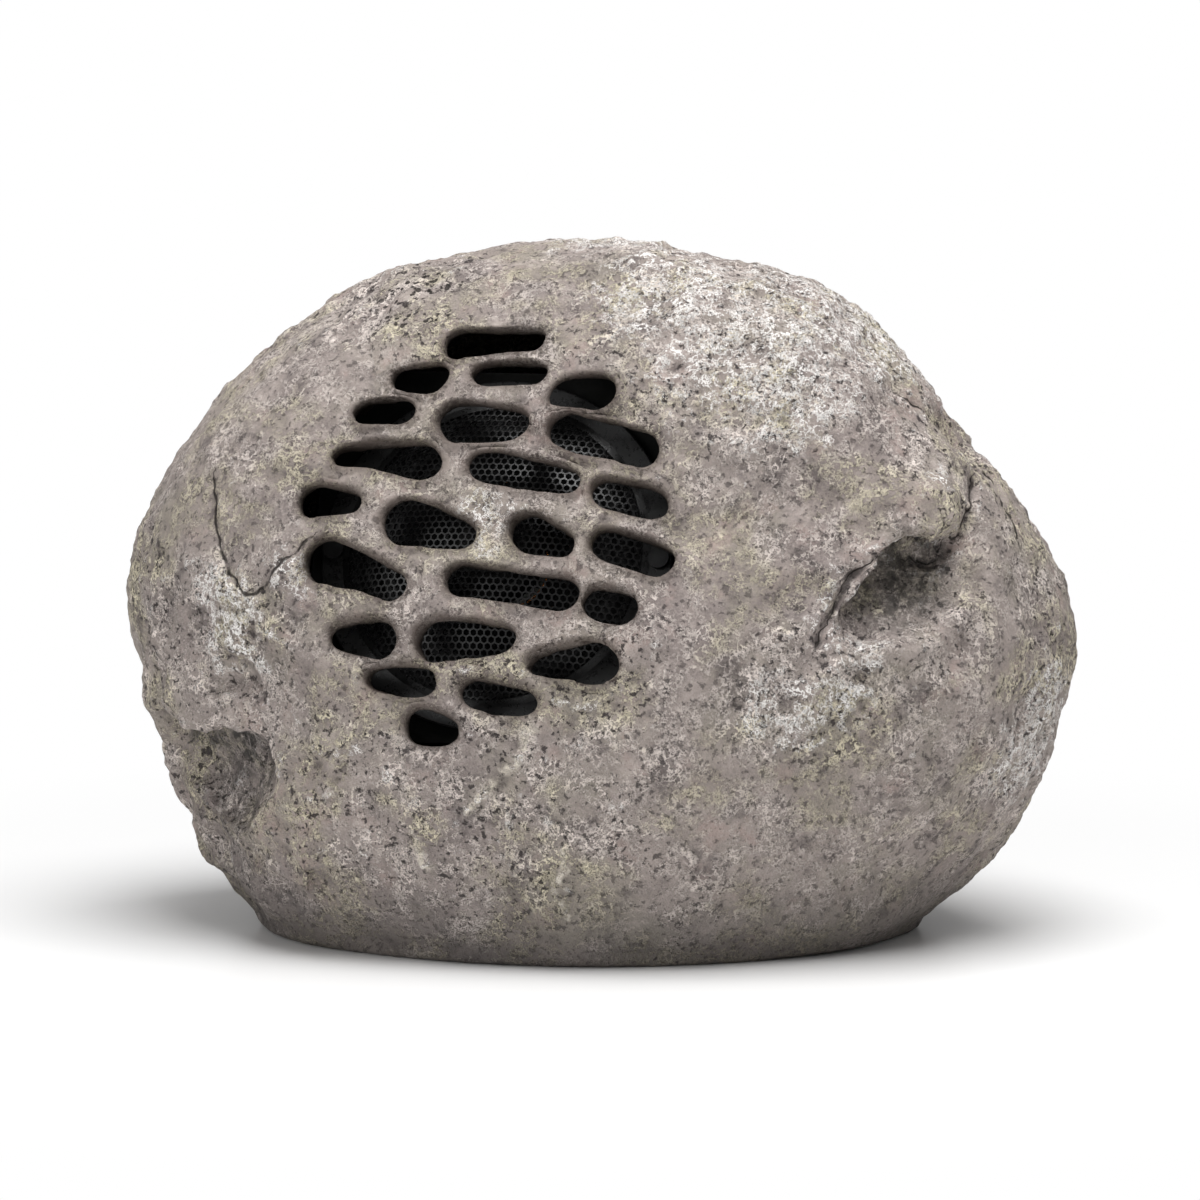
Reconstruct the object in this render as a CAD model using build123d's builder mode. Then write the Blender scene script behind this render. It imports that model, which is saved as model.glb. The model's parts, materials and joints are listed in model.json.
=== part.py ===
"""Rock shaped garden loudspeaker.

A hollow cast boulder with a grille of slots, a two way coaxial loudspeaker on a baffle behind the
grille, a crossover on the base plate and a cable gland low at the back.

Millimetres, +Z up, origin at the bottom centre of the boulder. The grille faces -Y.
Heights along the loudspeaker's axis count from the front of the baffle, outwards.
"""

import math
import os

from build123d import *

os.makedirs("parts", exist_ok=True)

# Boulder
rock_width = 300.0
rock_depth = 204.0
rock_height = 213.0
wall = 9.0

# Outlines of the boulder from base to crown. Each has its share of the height, then how far it
# reaches towards eight points of the compass, as shares of the half width and half depth:
# right, back right, back, back left, left, front left, front, front right.
rock_outlines = [
    (0.00, (0.65, 0.67, 0.72, 0.61, 0.66, 0.79, 0.80, 0.68)),
    (0.07, (0.77, 0.79, 0.84, 0.72, 0.77, 0.89, 0.90, 0.78)),
    (0.20, (0.90, 0.91, 0.94, 0.83, 0.88, 0.96, 0.97, 0.88)),
    (0.37, (0.99, 0.99, 0.99, 0.90, 0.97, 1.00, 0.99, 0.95)),
    (0.51, (0.98, 0.96, 0.96, 0.88, 0.99, 1.02, 0.92, 0.94)),
    (0.65, (0.87, 0.85, 0.87, 0.78, 0.92, 0.96, 0.80, 0.86)),
    (0.78, (0.73, 0.71, 0.74, 0.65, 0.79, 0.81, 0.66, 0.76)),
    (0.89, (0.59, 0.57, 0.56, 0.49, 0.61, 0.60, 0.48, 0.63)),
    (0.96, (0.39, 0.36, 0.37, 0.33, 0.42, 0.40, 0.32, 0.46)),
    (1.00, (0.14, 0.13, 0.14, 0.13, 0.16, 0.16, 0.13, 0.17)),
]

# Broad dents and swells of the boulder: bearing, height, reach and rise of each.
# Bearings turn from +X towards +Y.
outline_points = 32
rock_forms = [
    (-48.0, 138.0, 50.0, -6.5),
    (-17.0, 145.0, 34.0, 6.0),
    (10.0, 152.0, 42.0, -6.0),
    (-24.0, 74.0, 46.0, 4.0),
    (-60.0, 56.0, 42.0, 2.5),
    (-88.0, 74.0, 34.0, -2.0),
    (236.0, 46.0, 36.0, 3.5),
    (221.0, 78.0, 36.0, 3.0),
    (222.0, 160.0, 40.0, -3.0),
    (190.0, 150.0, 40.0, -2.5),
    (15.0, 66.0, 44.0, -3.5),
    (40.0, 108.0, 44.0, 4.0),
    (62.0, 60.0, 36.0, -3.0),
    (82.0, 132.0, 50.0, -5.0),
    (108.0, 160.0, 36.0, 3.0),
    (122.0, 78.0, 44.0, 4.0),
    (142.0, 118.0, 36.0, -3.0),
    (160.0, 64.0, 40.0, -3.0),
    (168.0, 138.0, 36.0, 3.0),
]

# Worn hollow at the lower left and notch at the right, each under a straight ledge.
# The ledge is so far above the deepest line.
hollow_bearing = 213.0
hollow_height = 61.0
hollow_turn = -3.0
hollow_length = 112.0
hollow_girth = 60.0
hollow_depth = 12.0
hollow_ledge = 5.0
notch_bearing = -27.0
notch_height = 121.0
notch_turn = 36.0
notch_length = 84.0
notch_girth = 60.0
notch_depth = 12.0
notch_ledge = 5.0

# Grille: its middle on the skin, its lean, and its slots. Each slot has its place across and up
# the grille, its length, the heights of its left and right ends, and its turn in degrees.
grille_x = -17.0
grille_height = 131.0
grille_lean = 22.0
grille_slots = [
    (-3.0, 62.0, 32.0, 10.0, 7.0, 5.0),
    (-24.0, 50.0, 19.0, 7.0, 10.0, 0.0),
    (4.0, 51.0, 25.0, 8.5, 8.0, 4.0),
    (26.0, 46.0, 22.0, 10.5, 11.5, 0.0),
    (-34.0, 38.0, 21.0, 8.0, 9.5, 4.0),
    (-2.0, 35.0, 29.0, 12.5, 10.0, -3.0),
    (35.0, 31.0, 35.0, 12.0, 11.0, -12.0),
    (-31.0, 23.0, 36.0, 6.0, 11.0, -2.0),
    (12.0, 19.0, 36.0, 10.5, 9.5, -11.0),
    (-47.0, 9.0, 21.5, 11.0, 8.0, -8.0),
    (44.0, 13.0, 23.0, 9.0, 10.5, -10.0),
    (-15.0, 1.5, 30.0, 15.0, 10.0, -15.0),
    (20.0, -1.0, 21.0, 11.5, 8.0, -20.0),
    (47.0, -4.0, 26.0, 10.0, 11.0, -16.0),
    (-36.0, -12.5, 36.0, 13.5, 9.0, -20.0),
    (12.0, -16.0, 41.0, 10.0, 9.5, -5.0),
    (42.0, -20.0, 17.0, 10.0, 9.5, -6.0),
    (-33.0, -32.0, 24.0, 8.0, 11.0, 0.0),
    (0.0, -32.5, 31.0, 13.5, 8.0, 0.0),
    (32.5, -38.0, 28.0, 6.5, 13.0, 8.0),
    (-20.0, -44.0, 23.0, 6.0, 10.0, -4.0),
    (10.0, -49.0, 24.0, 8.5, 8.0, -8.0),
    (-10.0, -58.0, 18.0, 10.5, 9.0, -12.0),
]

# Baffle and the cast posts that carry it
baffle_setback = 30.0
baffle_margin = 9.0
baffle_corner = 14.0
baffle_thickness = 6.0
post_spacing = 98.0
post_radius = 6.5
post_reach = 60.0
baffle_pilot_depth = 9.0

# Fasteners: shank radius, head radius and head height of the tapping screws
screw_shank = 1.5
screw_head = 3.2
screw_head_height = 2.0
screw_hole_clearance = 0.2
screw_pilot_clearance = 0.05
screw_end_gap = 1.0

# Loudspeaker: flange, mesh and basket
driver_radius = 53.5
cutout_clearance = 0.6
gasket_thickness = 1.0
flange_thickness = 1.5
flange_inner = 42.5
driver_screw_radius = 50.5
driver_screw_count = 4
driver_screw_turn = 0.0
driver_screw_length = 8.0
mesh_radius = 54.5
mesh_rim_inner = 47.0
mesh_thickness = 0.8
mesh_dome_rise = 12.5
mesh_hole_pitch = 10.0
mesh_hole_radius = 4.3
mesh_hole_reach = 41.0
basket_sheet = 1.2
basket_neck = 1.6
basket_depth = 18.5
basket_shelf_outer = 36.0
basket_shelf_inner = 28.0
basket_well = 5.0
window_count = 4
window_arc = 62.0
window_margin = 3.0

# Loudspeaker: moving parts and suspension
cone_edge = 35.4
cone_lip = 2.4
cone_sheet = 0.8
cone_neck_height = 1.5
coil_former_inner = 12.5
coil_former_sheet = 0.6
coil_winding = 0.4
coil_winding_length = 9.0
coil_tail = 1.0
surround_sheet = 0.6
surround_roll = 2.2
surround_lip = 2.0
spider_sheet = 0.5
spider_wave = 1.1
spider_wave_count = 4
spider_flat = 2.0

# Loudspeaker: motor
gap_clearance = 0.5
top_plate_radius = 30.0
top_plate_thickness = 4.0
magnet_inner = 18.0
magnet_radius = 36.0
magnet_thickness = 12.0
yoke_radius = 31.0
yoke_thickness = 4.0
motor_chamfer = 0.8

# Tweeter on its post through the pole
post_tube_radius = 4.0
post_tube_bore = 1.8
post_tube_clearance = 0.1
post_nut_radius = 6.5
post_nut_height = 2.5
tweeter_radius = 15.0
tweeter_wall = 1.6
tweeter_height = 8.0
tweeter_back = 1.0
tweeter_boss_radius = 7.0
tweeter_boss_height = 4.0
tweeter_magnet_radius = 9.0
tweeter_magnet_height = 4.0
tweeter_dome_radius = 10.5
tweeter_dome_rise = 2.8
tweeter_dome_sheet = 0.4
tweeter_face_thickness = 1.8

# Solder tags on the basket
strip_width = 24.0
strip_inner = 30.0
strip_outer = 43.0
strip_thickness = 1.5
tag_spacing = 10.0
tag_width = 4.0
tag_reach = 6.0
tag_thickness = 0.6

# Base: rim that the boulder stands on, plate let into it, flange above
base_rim = 9.0
plate_recess = 4.0
plate_thickness = 3.0
plate_clearance = 0.5
seal_thickness = 1.0
flange_width = 14.0
flange_height = 8.0
base_screw_length = 9.0
base_screw_bearings = (0, 1, 3, 4, 5, 7)
locating_rib_width = 2.0
locating_rib_height = 5.0

# Crossover on the base plate
board_width = 72.0
board_depth = 46.0
board_thickness = 1.6
board_corner = 3.0
board_hole_margin = 5.0
standoff_radius = 3.5
standoff_height = 6.0
board_screw_length = 7.0
coil_x = -15.0
coil_y = -2.0
coil_radius = 14.0
coil_hub = 6.0
coil_bore = 3.5
coil_height = 13.0
coil_cheek = 1.2
capacitor_x = 8.0
capacitor_y = -9.0
capacitor_spacing = 15.0
capacitor_radius = 6.5
capacitor_height = 17.0
capacitor_edge = 1.0
resistor_x = 14.0
resistor_y = 5.0
resistor_length = 22.0
resistor_width = 9.0
resistor_height = 9.0
resistor_edge = 0.8
terminal_x = 11.0
terminal_y = 17.0
terminal_length = 11.0
terminal_width = 8.0
terminal_height = 10.0
terminal_pitch = 5.0
terminal_hole = 1.8
terminal_hole_depth = 3.0

# Cable gland low at the back
gland_height = 31.0
gland_recess = 9.0
gland_recess_radius = 14.0
gland_boss_radius = 18.0
gland_wall = 6.0
gland_thread_radius = 6.0
gland_thread_clearance = 0.1
gland_bore = 4.5
gland_flats = 17.0
gland_flange = 4.0
gland_neck = 4.0
gland_nut_height = 4.0
gland_thread_tail = 1.0
gland_cap_flats = 15.5
gland_cap_grip = 6.0
gland_cap_nose = 3.0
gland_cap_taper = 30.0
gland_cap_mouth = 3.8
gland_seal_bore = 3.2
gland_seal_clearance = 0.05
gland_seal_depth = 3.0

# Leads inside the boulder
lead_radius = 1.1
lead_bend = 9.0
lead_rise = 30.0
lead_straight = 18.0
lead_in_post = 2.5
speaker_lead_y = -18.0
tweeter_lead_x = -4.0
tweeter_lead_y = 17.0

# Places worked out from the sizes above
base_shares = rock_outlines[0][1]
compass_points = len(base_shares)


def outline(shares, width, depth, inset=0.0):
    """Points of a boulder outline, pulled towards the axis by an inset."""
    points = []
    for k, share in enumerate(shares):
        bearing = 2 * math.pi * k / compass_points
        point = Vector(share * width / 2 * math.cos(bearing), share * depth / 2 * math.sin(bearing))
        points.append(point * (1 - inset / point.length))
    return points


def closed_curve(points):
    """Smooth closed curve, evenly spread over its points so that all outlines match when lofted."""
    spread = [k / len(points) for k in range(len(points) + 1)]
    return Edge.make_spline(points, periodic=True, parameters=spread)


def base_sketch(height, inset):
    """Face with the outline of the base, drawn in by an inset."""
    with BuildSketch(Plane.XY.offset(height)) as face:
        with BuildLine():
            add(closed_curve(outline(base_shares, rock_width, rock_depth, inset)))
        make_face()
    return face.sketch


def form_rise(bearing, radius, height):
    """How far the dents and swells move the skin out at a place."""
    rise = 0.0
    for form_bearing, form_height, reach, form_size in rock_forms:
        turn = (bearing - form_bearing + 180) % 360 - 180
        distance = math.hypot(radius * math.radians(turn), height - form_height)
        rise += form_size * (1 + math.cos(math.pi * min(distance / reach, 1))) / 2
    return rise


def skin_curve(shares, height, width, depth):
    """Closed outline of the boulder at a height, with its dents and swells."""
    plain = closed_curve(outline(shares, width, depth))
    points = []
    for k in range(outline_points):
        point = plain.position_at(k / outline_points)
        bearing = math.degrees(math.atan2(point.Y, point.X))
        points.append(point * (1 + form_rise(bearing, point.length, height) / point.length))
    return closed_curve(points)


def boulder_form(shrink):
    """Solid boulder, smaller by a shrink all round and at the crown."""
    width = rock_width - 2 * shrink
    depth = rock_depth - 2 * shrink
    with BuildPart() as form:
        for height_share, shares in rock_outlines:
            with BuildSketch(Plane.XY.offset(height_share * (rock_height - shrink))):
                with BuildLine():
                    add(skin_curve(shares, height_share * rock_height, width, depth))
                make_face()
        loft()
    return form.part


boulder = boulder_form(0)
boulder_skin = boulder.faces().sort_by(SortBy.AREA)[-1]


def skin_point(start, direction):
    """Where a ray leaves the boulder, with the outward normal there."""
    ray = Vector(direction)
    crossings = boulder_skin.find_intersection_points(Axis(start, direction))
    point, normal = max(crossings, key=lambda crossing: crossing[0].dot(ray))
    return point, normal if normal.dot(ray) > 0 else -normal


def skin_plane(bearing, height, turn):
    """Plane on the skin at a bearing and height, facing out, turned about its normal."""
    angle = math.radians(bearing)
    point, normal = skin_point((0, 0, height), (math.cos(angle), math.sin(angle), 0))
    level = Vector(0, 0, 1).cross(normal).normalized()
    tilt = math.radians(turn)
    along = level * math.cos(tilt) + normal.cross(level) * math.sin(tilt)
    return Plane(point, x_dir=along, z_dir=normal)


def scoop(place, length, girth, depth, ledge, grow=0.0):
    """Long rounded form that dips into the skin at a plane, cut straight along its ledge."""
    half_length = length / 2 + grow
    half_girth = girth / 2 + grow
    middle = place.offset(girth / 2 - depth)
    ledge_plane = Plane(middle.from_local_coords((0, ledge + grow, 0)), z_dir=middle.y_dir)
    with BuildPart() as form:
        with BuildSketch(middle):
            Ellipse(half_length, half_girth)
            Rectangle(2 * half_length, half_girth, align=(Align.CENTER, Align.MIN), mode=Mode.INTERSECT)
        revolve(axis=Axis(middle.origin, middle.x_dir))
        split(bisect_by=ledge_plane, keep=Keep.BOTTOM)
    return form.part


hollow_plane = skin_plane(hollow_bearing, hollow_height, hollow_turn)
notch_plane = skin_plane(notch_bearing, notch_height, notch_turn)
hollow_sizes = (hollow_length, hollow_girth, hollow_depth, hollow_ledge)
notch_sizes = (notch_length, notch_girth, notch_depth, notch_ledge)

lean = math.radians(grille_lean)
grille_normal = Vector(0, -math.cos(lean), math.sin(lean))
grille_up = Vector(0, math.sin(lean), math.cos(lean))
grille_centre = skin_point((grille_x, 0, grille_height), (0, -1, 0))[0]
baffle_centre = grille_centre - grille_normal * baffle_setback
baffle_plane = Plane(baffle_centre, x_dir=(1, 0, 0), z_dir=grille_normal)
driver_axis = Axis(baffle_centre, grille_normal)


def radial_plane(turn):
    """Plane through the loudspeaker's axis: radius across, height up."""
    angle = math.radians(turn)
    outwards = Vector(1, 0, 0) * math.cos(angle) + grille_up * math.sin(angle)
    return Plane(baffle_centre, x_dir=outwards, z_dir=outwards.cross(grille_normal))


def turned(*points):
    """Solid turned about the loudspeaker's axis from (radius, height) corners."""
    with BuildPart() as form:
        with BuildSketch(radial_plane(0)):
            with BuildLine():
                Polyline(*points, close=True)
            make_face()
        revolve(axis=driver_axis)
    return form.part


def ring(inner, outer, low, high):
    """Plain ring or disc on the loudspeaker's axis."""
    return turned((inner, low), (outer, low), (outer, high), (inner, high))


# Heights along the loudspeaker's axis
flange_low = gasket_thickness
flange_top = flange_low + flange_thickness
mesh_top = flange_top + mesh_thickness
mesh_apex = mesh_top + mesh_dome_rise
cutout_radius = flange_inner + basket_neck + cutout_clearance
shelf_top = flange_top - basket_depth
well_floor = shelf_top - basket_well
top_plate_top = well_floor - basket_sheet
top_plate_low = top_plate_top - top_plate_thickness
magnet_low = top_plate_low - magnet_thickness
yoke_low = magnet_low - yoke_thickness
coil_former_outer = coil_former_inner + coil_former_sheet
coil_outer = coil_former_outer + coil_winding
pole_radius = coil_former_inner - gap_clearance
gap_radius = coil_outer + gap_clearance
winding_middle = (top_plate_top + top_plate_low) / 2
winding_top = winding_middle + coil_winding_length / 2
winding_low = winding_middle - coil_winding_length / 2
spider_top = shelf_top + spider_sheet
cone_neck_low = spider_top + spider_wave + cone_sheet
cone_neck_top = cone_neck_low + cone_neck_height
baffle_size = post_spacing + 2 * baffle_margin
driver_screw_places = PolarLocations(driver_screw_radius, driver_screw_count, driver_screw_turn)
post_places = GridLocations(post_spacing, post_spacing, 2, 2)

# Heights of the base
plate_top = plate_recess + plate_thickness
flange_bottom = plate_top + seal_thickness
cavity_floor = flange_bottom + flange_height
opening_inset = base_rim + flange_width
screw_circle = outline(base_shares, rock_width, rock_depth, base_rim + flange_width / 2)
base_screw_points = [screw_circle[k] for k in base_screw_bearings]
board_low = plate_top + standoff_height
board_top = board_low + board_thickness
board_grid = (board_width - 2 * board_hole_margin, board_depth - 2 * board_hole_margin)

# Gland at the back
gland_skin = skin_point((0, 0, gland_height), (0, 1, 0))[0]
gland_seat = gland_skin.Y - gland_recess
gland_plane = Plane((0, gland_seat, gland_height), x_dir=(-1, 0, 0), z_dir=(0, 1, 0))
gland_hole = gland_thread_radius + gland_thread_clearance

# Cavity of the boulder, kept clear of the hollow and the notch by the wall
with BuildPart() as cavity:
    add(boulder_form(wall))
    split(bisect_by=Plane.XY.offset(cavity_floor), keep=Keep.TOP)
    add(scoop(hollow_plane, *hollow_sizes, wall), mode=Mode.SUBTRACT)
    add(scoop(notch_plane, *notch_sizes, wall), mode=Mode.SUBTRACT)

# Posts for the baffle and boss for the gland, trimmed to end inside the wall
with BuildPart() as cast_bosses:
    with BuildSketch(baffle_plane):
        with post_places:
            Circle(post_radius)
    extrude(amount=post_reach)
    with BuildSketch(gland_plane.offset(-gland_wall)):
        Circle(gland_boss_radius)
    extrude(amount=post_reach)
    add(boulder_form(wall / 2), mode=Mode.INTERSECT)


def slot_sketch(length, left, right):
    """Slot with round ends of different heights."""
    with BuildSketch() as slot:
        with Locations(((left - length) / 2, 0)):
            Circle(left / 2)
        with Locations(((length - right) / 2, 0)):
            Circle(right / 2)
        make_hull()
    return slot.sketch


with BuildPart() as rock_shell:
    add(boulder)
    add(scoop(hollow_plane, *hollow_sizes), mode=Mode.SUBTRACT)
    add(scoop(notch_plane, *notch_sizes), mode=Mode.SUBTRACT)
    add(cavity.part, mode=Mode.SUBTRACT)
    add(cast_bosses.part)
    # Slots of the grille
    with BuildSketch(baffle_plane):
        for across, up, length, left, right, turn in grille_slots:
            with Locations(Location((across, up, 0), (0, 0, turn))):
                add(slot_sketch(length, left, right))
    extrude(amount=post_reach, mode=Mode.SUBTRACT)
    # Pilot holes in the posts
    with BuildSketch(baffle_plane):
        with post_places:
            Circle(screw_shank + screw_pilot_clearance)
    extrude(amount=baffle_pilot_depth, mode=Mode.SUBTRACT)
    # Rebate for the base plate, opening above it and pilot holes in the flange
    extrude(base_sketch(0, base_rim), amount=flange_bottom, mode=Mode.SUBTRACT)
    extrude(base_sketch(flange_bottom, opening_inset), amount=flange_height, mode=Mode.SUBTRACT)
    with BuildSketch(Plane.XY.offset(plate_recess)):
        with Locations(*base_screw_points):
            Circle(screw_shank + screw_pilot_clearance)
    extrude(amount=base_screw_length + screw_end_gap, mode=Mode.SUBTRACT)
    # Recess and hole for the gland
    with BuildSketch(gland_plane):
        Circle(gland_recess_radius)
    extrude(amount=post_reach, mode=Mode.SUBTRACT)
    with BuildSketch(gland_plane):
        Circle(gland_hole)
    extrude(amount=-gland_wall - gland_nut_height, mode=Mode.SUBTRACT)

with BuildPart() as baffle_plate:
    with BuildSketch(baffle_plane):
        RectangleRounded(baffle_size, baffle_size, baffle_corner)
        Circle(cutout_radius, mode=Mode.SUBTRACT)
        with post_places:
            Circle(screw_shank + screw_hole_clearance, mode=Mode.SUBTRACT)
        with driver_screw_places:
            Circle(screw_shank + screw_pilot_clearance, mode=Mode.SUBTRACT)
    extrude(amount=-baffle_thickness)

with BuildPart() as baffle_screws:
    with BuildSketch(baffle_plane.offset(-baffle_thickness)):
        with post_places:
            Circle(screw_head)
    extrude(amount=-screw_head_height)
    with BuildSketch(baffle_plane.offset(-baffle_thickness)):
        with post_places:
            Circle(screw_shank)
    extrude(amount=baffle_thickness + baffle_pilot_depth - screw_end_gap)

with BuildPart() as driver_gasket:
    with BuildSketch(baffle_plane):
        Circle(driver_radius)
        Circle(cutout_radius, mode=Mode.SUBTRACT)
        with driver_screw_places:
            Circle(screw_shank + screw_hole_clearance, mode=Mode.SUBTRACT)
    extrude(amount=gasket_thickness)

with BuildPart() as driver_frame:
    add(
        turned(
            (flange_inner, flange_top),
            (driver_radius, flange_top),
            (driver_radius, flange_low),
            (flange_inner + basket_neck, flange_low),
            (basket_shelf_outer + basket_sheet, shelf_top - basket_sheet),
            (basket_shelf_inner + basket_sheet, shelf_top - basket_sheet),
            (basket_shelf_inner + basket_sheet, top_plate_top),
            (gap_radius, top_plate_top),
            (gap_radius, well_floor),
            (basket_shelf_inner, well_floor),
            (basket_shelf_inner, shelf_top),
            (basket_shelf_outer, shelf_top),
        )
    )
    # Windows between the spokes of the basket
    for k in range(window_count):
        middle = 360 / window_count * (k + 0.5)
        with BuildSketch(radial_plane(middle - window_arc / 2)):
            with BuildLine():
                Polyline(
                    (basket_shelf_inner, shelf_top + window_margin),
                    (driver_radius, shelf_top + window_margin),
                    (driver_radius, flange_low - window_margin),
                    (basket_shelf_inner, flange_low - window_margin),
                    close=True,
                )
            make_face()
        revolve(axis=driver_axis, revolution_arc=-window_arc, mode=Mode.SUBTRACT)
    with BuildSketch(baffle_plane):
        with driver_screw_places:
            Circle(screw_shank + screw_hole_clearance)
    extrude(amount=flange_top, mode=Mode.SUBTRACT)

with BuildPart() as mesh_grille:
    with BuildSketch(radial_plane(0)):
        with BuildLine():
            TangentArc((0, mesh_apex), (mesh_rim_inner, mesh_top), tangent=(1, 0))
            Polyline(
                (mesh_rim_inner, mesh_top),
                (mesh_radius, mesh_top),
                (mesh_radius, flange_top),
                (mesh_rim_inner - mesh_thickness, flange_top),
            )
            TangentArc(
                (0, mesh_apex - mesh_thickness),
                (mesh_rim_inner - mesh_thickness, flange_top),
                tangent=(1, 0),
            )
            Line((0, mesh_apex - mesh_thickness), (0, mesh_apex))
        make_face()
    revolve(axis=driver_axis)
    # Six sided holes, as many rows as the dome has room for
    row_height = mesh_hole_pitch * math.sqrt(3) / 2
    row_count = int(mesh_hole_reach / row_height)
    hole_places = []
    for row in range(-row_count, row_count + 1):
        for k in range(-2 * row_count, 2 * row_count + 1):
            place = Vector(mesh_hole_pitch * (k + row / 2), row_height * row)
            if place.length < mesh_hole_reach:
                hole_places.append(place)
    with BuildSketch(baffle_plane):
        with Locations(*hole_places):
            RegularPolygon(mesh_hole_radius, 6, rotation=30)
    extrude(amount=mesh_apex, mode=Mode.SUBTRACT)
    with BuildSketch(baffle_plane):
        with driver_screw_places:
            Circle(screw_shank + screw_hole_clearance)
    extrude(amount=mesh_top, mode=Mode.SUBTRACT)

with BuildPart() as driver_screws:
    with BuildSketch(baffle_plane.offset(mesh_top)):
        with driver_screw_places:
            Circle(screw_head)
    extrude(amount=screw_head_height)
    with BuildSketch(baffle_plane.offset(mesh_top)):
        with driver_screw_places:
            Circle(screw_shank)
    extrude(amount=-driver_screw_length)

with BuildPart() as surround:
    surround_top = flange_top + surround_sheet
    roll_middle = (flange_inner + cone_edge) / 2
    with BuildSketch(radial_plane(0)):
        with BuildLine():
            Polyline(
                (flange_inner - surround_sheet, flange_top),
                (flange_inner + surround_lip, flange_top),
                (flange_inner + surround_lip, surround_top),
                (flange_inner, surround_top),
            )
            ThreePointArc(
                (flange_inner, surround_top),
                (roll_middle, surround_top + surround_roll),
                (cone_edge, surround_top),
            )
            Polyline(
                (cone_edge, surround_top),
                (cone_edge - surround_lip, surround_top),
                (cone_edge - surround_lip, flange_top),
                (cone_edge + surround_sheet, flange_top),
            )
            ThreePointArc(
                (cone_edge + surround_sheet, flange_top),
                (roll_middle, flange_top + surround_roll),
                (flange_inner - surround_sheet, flange_top),
            )
        make_face()
    revolve(axis=driver_axis)

with BuildPart() as cone:
    add(
        turned(
            (cone_edge, flange_top),
            (cone_edge, flange_top - cone_sheet),
            (cone_edge - cone_lip, flange_top - cone_sheet),
            (coil_former_outer + cone_sheet, cone_neck_top),
            (coil_former_outer + cone_sheet, cone_neck_low),
            (coil_former_outer, cone_neck_low),
            (coil_former_outer, cone_neck_top + cone_sheet),
            (cone_edge - cone_lip - cone_sheet, flange_top),
        )
    )

with BuildPart() as voice_coil:
    add(
        turned(
            (coil_former_inner, cone_neck_top + cone_sheet),
            (coil_former_outer, cone_neck_top + cone_sheet),
            (coil_former_outer, winding_top),
            (coil_outer, winding_top),
            (coil_outer, winding_low),
            (coil_former_outer, winding_low),
            (coil_former_outer, winding_low - coil_tail),
            (coil_former_inner, winding_low - coil_tail),
        )
    )

with BuildPart() as spider:
    wave_inner = coil_former_outer + spider_flat
    wave_step = (basket_shelf_inner - wave_inner) / (2 * spider_wave_count)
    wave = [(basket_shelf_outer - cutout_clearance, 0), (basket_shelf_inner, 0)]
    for k in range(1, 2 * spider_wave_count):
        wave.append((basket_shelf_inner - k * wave_step, spider_wave if k % 2 else 0))
    wave.extend([(wave_inner, 0), (coil_former_outer, 0)])
    upper = [(radius, spider_top + rise) for radius, rise in wave]
    lower = [(radius, shelf_top + rise) for radius, rise in reversed(wave)]
    add(turned(*upper, *lower))

with BuildPart() as top_plate:
    add(ring(gap_radius, top_plate_radius, top_plate_low, top_plate_top))

with BuildPart() as magnet:
    add(ring(magnet_inner, magnet_radius, magnet_low, top_plate_low))
    chamfer(magnet.edges().sort_by(SortBy.LENGTH)[-3:-1], motor_chamfer)

with BuildPart() as yoke:
    add(
        turned(
            (post_tube_radius + post_tube_clearance, yoke_low),
            (yoke_radius, yoke_low),
            (yoke_radius, magnet_low),
            (pole_radius, magnet_low),
            (pole_radius, top_plate_top - motor_chamfer),
            (pole_radius - motor_chamfer, top_plate_top),
            (post_tube_radius + post_tube_clearance, top_plate_top),
        )
    )

with BuildPart() as tweeter_post:
    add(
        turned(
            (post_tube_bore, yoke_low - post_nut_height),
            (post_nut_radius, yoke_low - post_nut_height),
            (post_nut_radius, yoke_low),
            (post_tube_radius, yoke_low),
            (post_tube_radius, tweeter_back),
            (post_tube_bore, tweeter_back),
        )
    )

tweeter_floor = tweeter_back + tweeter_wall
tweeter_rim = tweeter_back + tweeter_height
tweeter_dome_top = tweeter_rim + tweeter_dome_sheet

with BuildPart() as tweeter_housing:
    add(
        turned(
            (post_tube_radius, tweeter_back - tweeter_boss_height),
            (tweeter_boss_radius, tweeter_back - tweeter_boss_height),
            (tweeter_boss_radius, tweeter_back),
            (tweeter_radius, tweeter_back),
            (tweeter_radius, tweeter_rim),
            (tweeter_radius - tweeter_wall, tweeter_rim),
            (tweeter_radius - tweeter_wall, tweeter_floor),
            (post_tube_bore, tweeter_floor),
            (post_tube_bore, tweeter_back),
            (post_tube_radius, tweeter_back),
        )
    )

with BuildPart() as tweeter_magnet:
    add(ring(post_tube_bore, tweeter_magnet_radius, tweeter_floor, tweeter_floor + tweeter_magnet_height))

with BuildPart() as tweeter_dome:
    with BuildSketch(radial_plane(0)):
        with BuildLine():
            TangentArc(
                (0, tweeter_dome_top + tweeter_dome_rise),
                (tweeter_dome_radius, tweeter_dome_top),
                tangent=(1, 0),
            )
            Polyline(
                (tweeter_dome_radius, tweeter_dome_top),
                (tweeter_radius, tweeter_dome_top),
                (tweeter_radius, tweeter_rim),
                (tweeter_dome_radius - tweeter_dome_sheet, tweeter_rim),
            )
            TangentArc(
                (0, tweeter_rim + tweeter_dome_rise),
                (tweeter_dome_radius - tweeter_dome_sheet, tweeter_rim),
                tangent=(1, 0),
            )
            Line((0, tweeter_rim + tweeter_dome_rise), (0, tweeter_dome_top + tweeter_dome_rise))
        make_face()
    revolve(axis=driver_axis)

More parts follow.
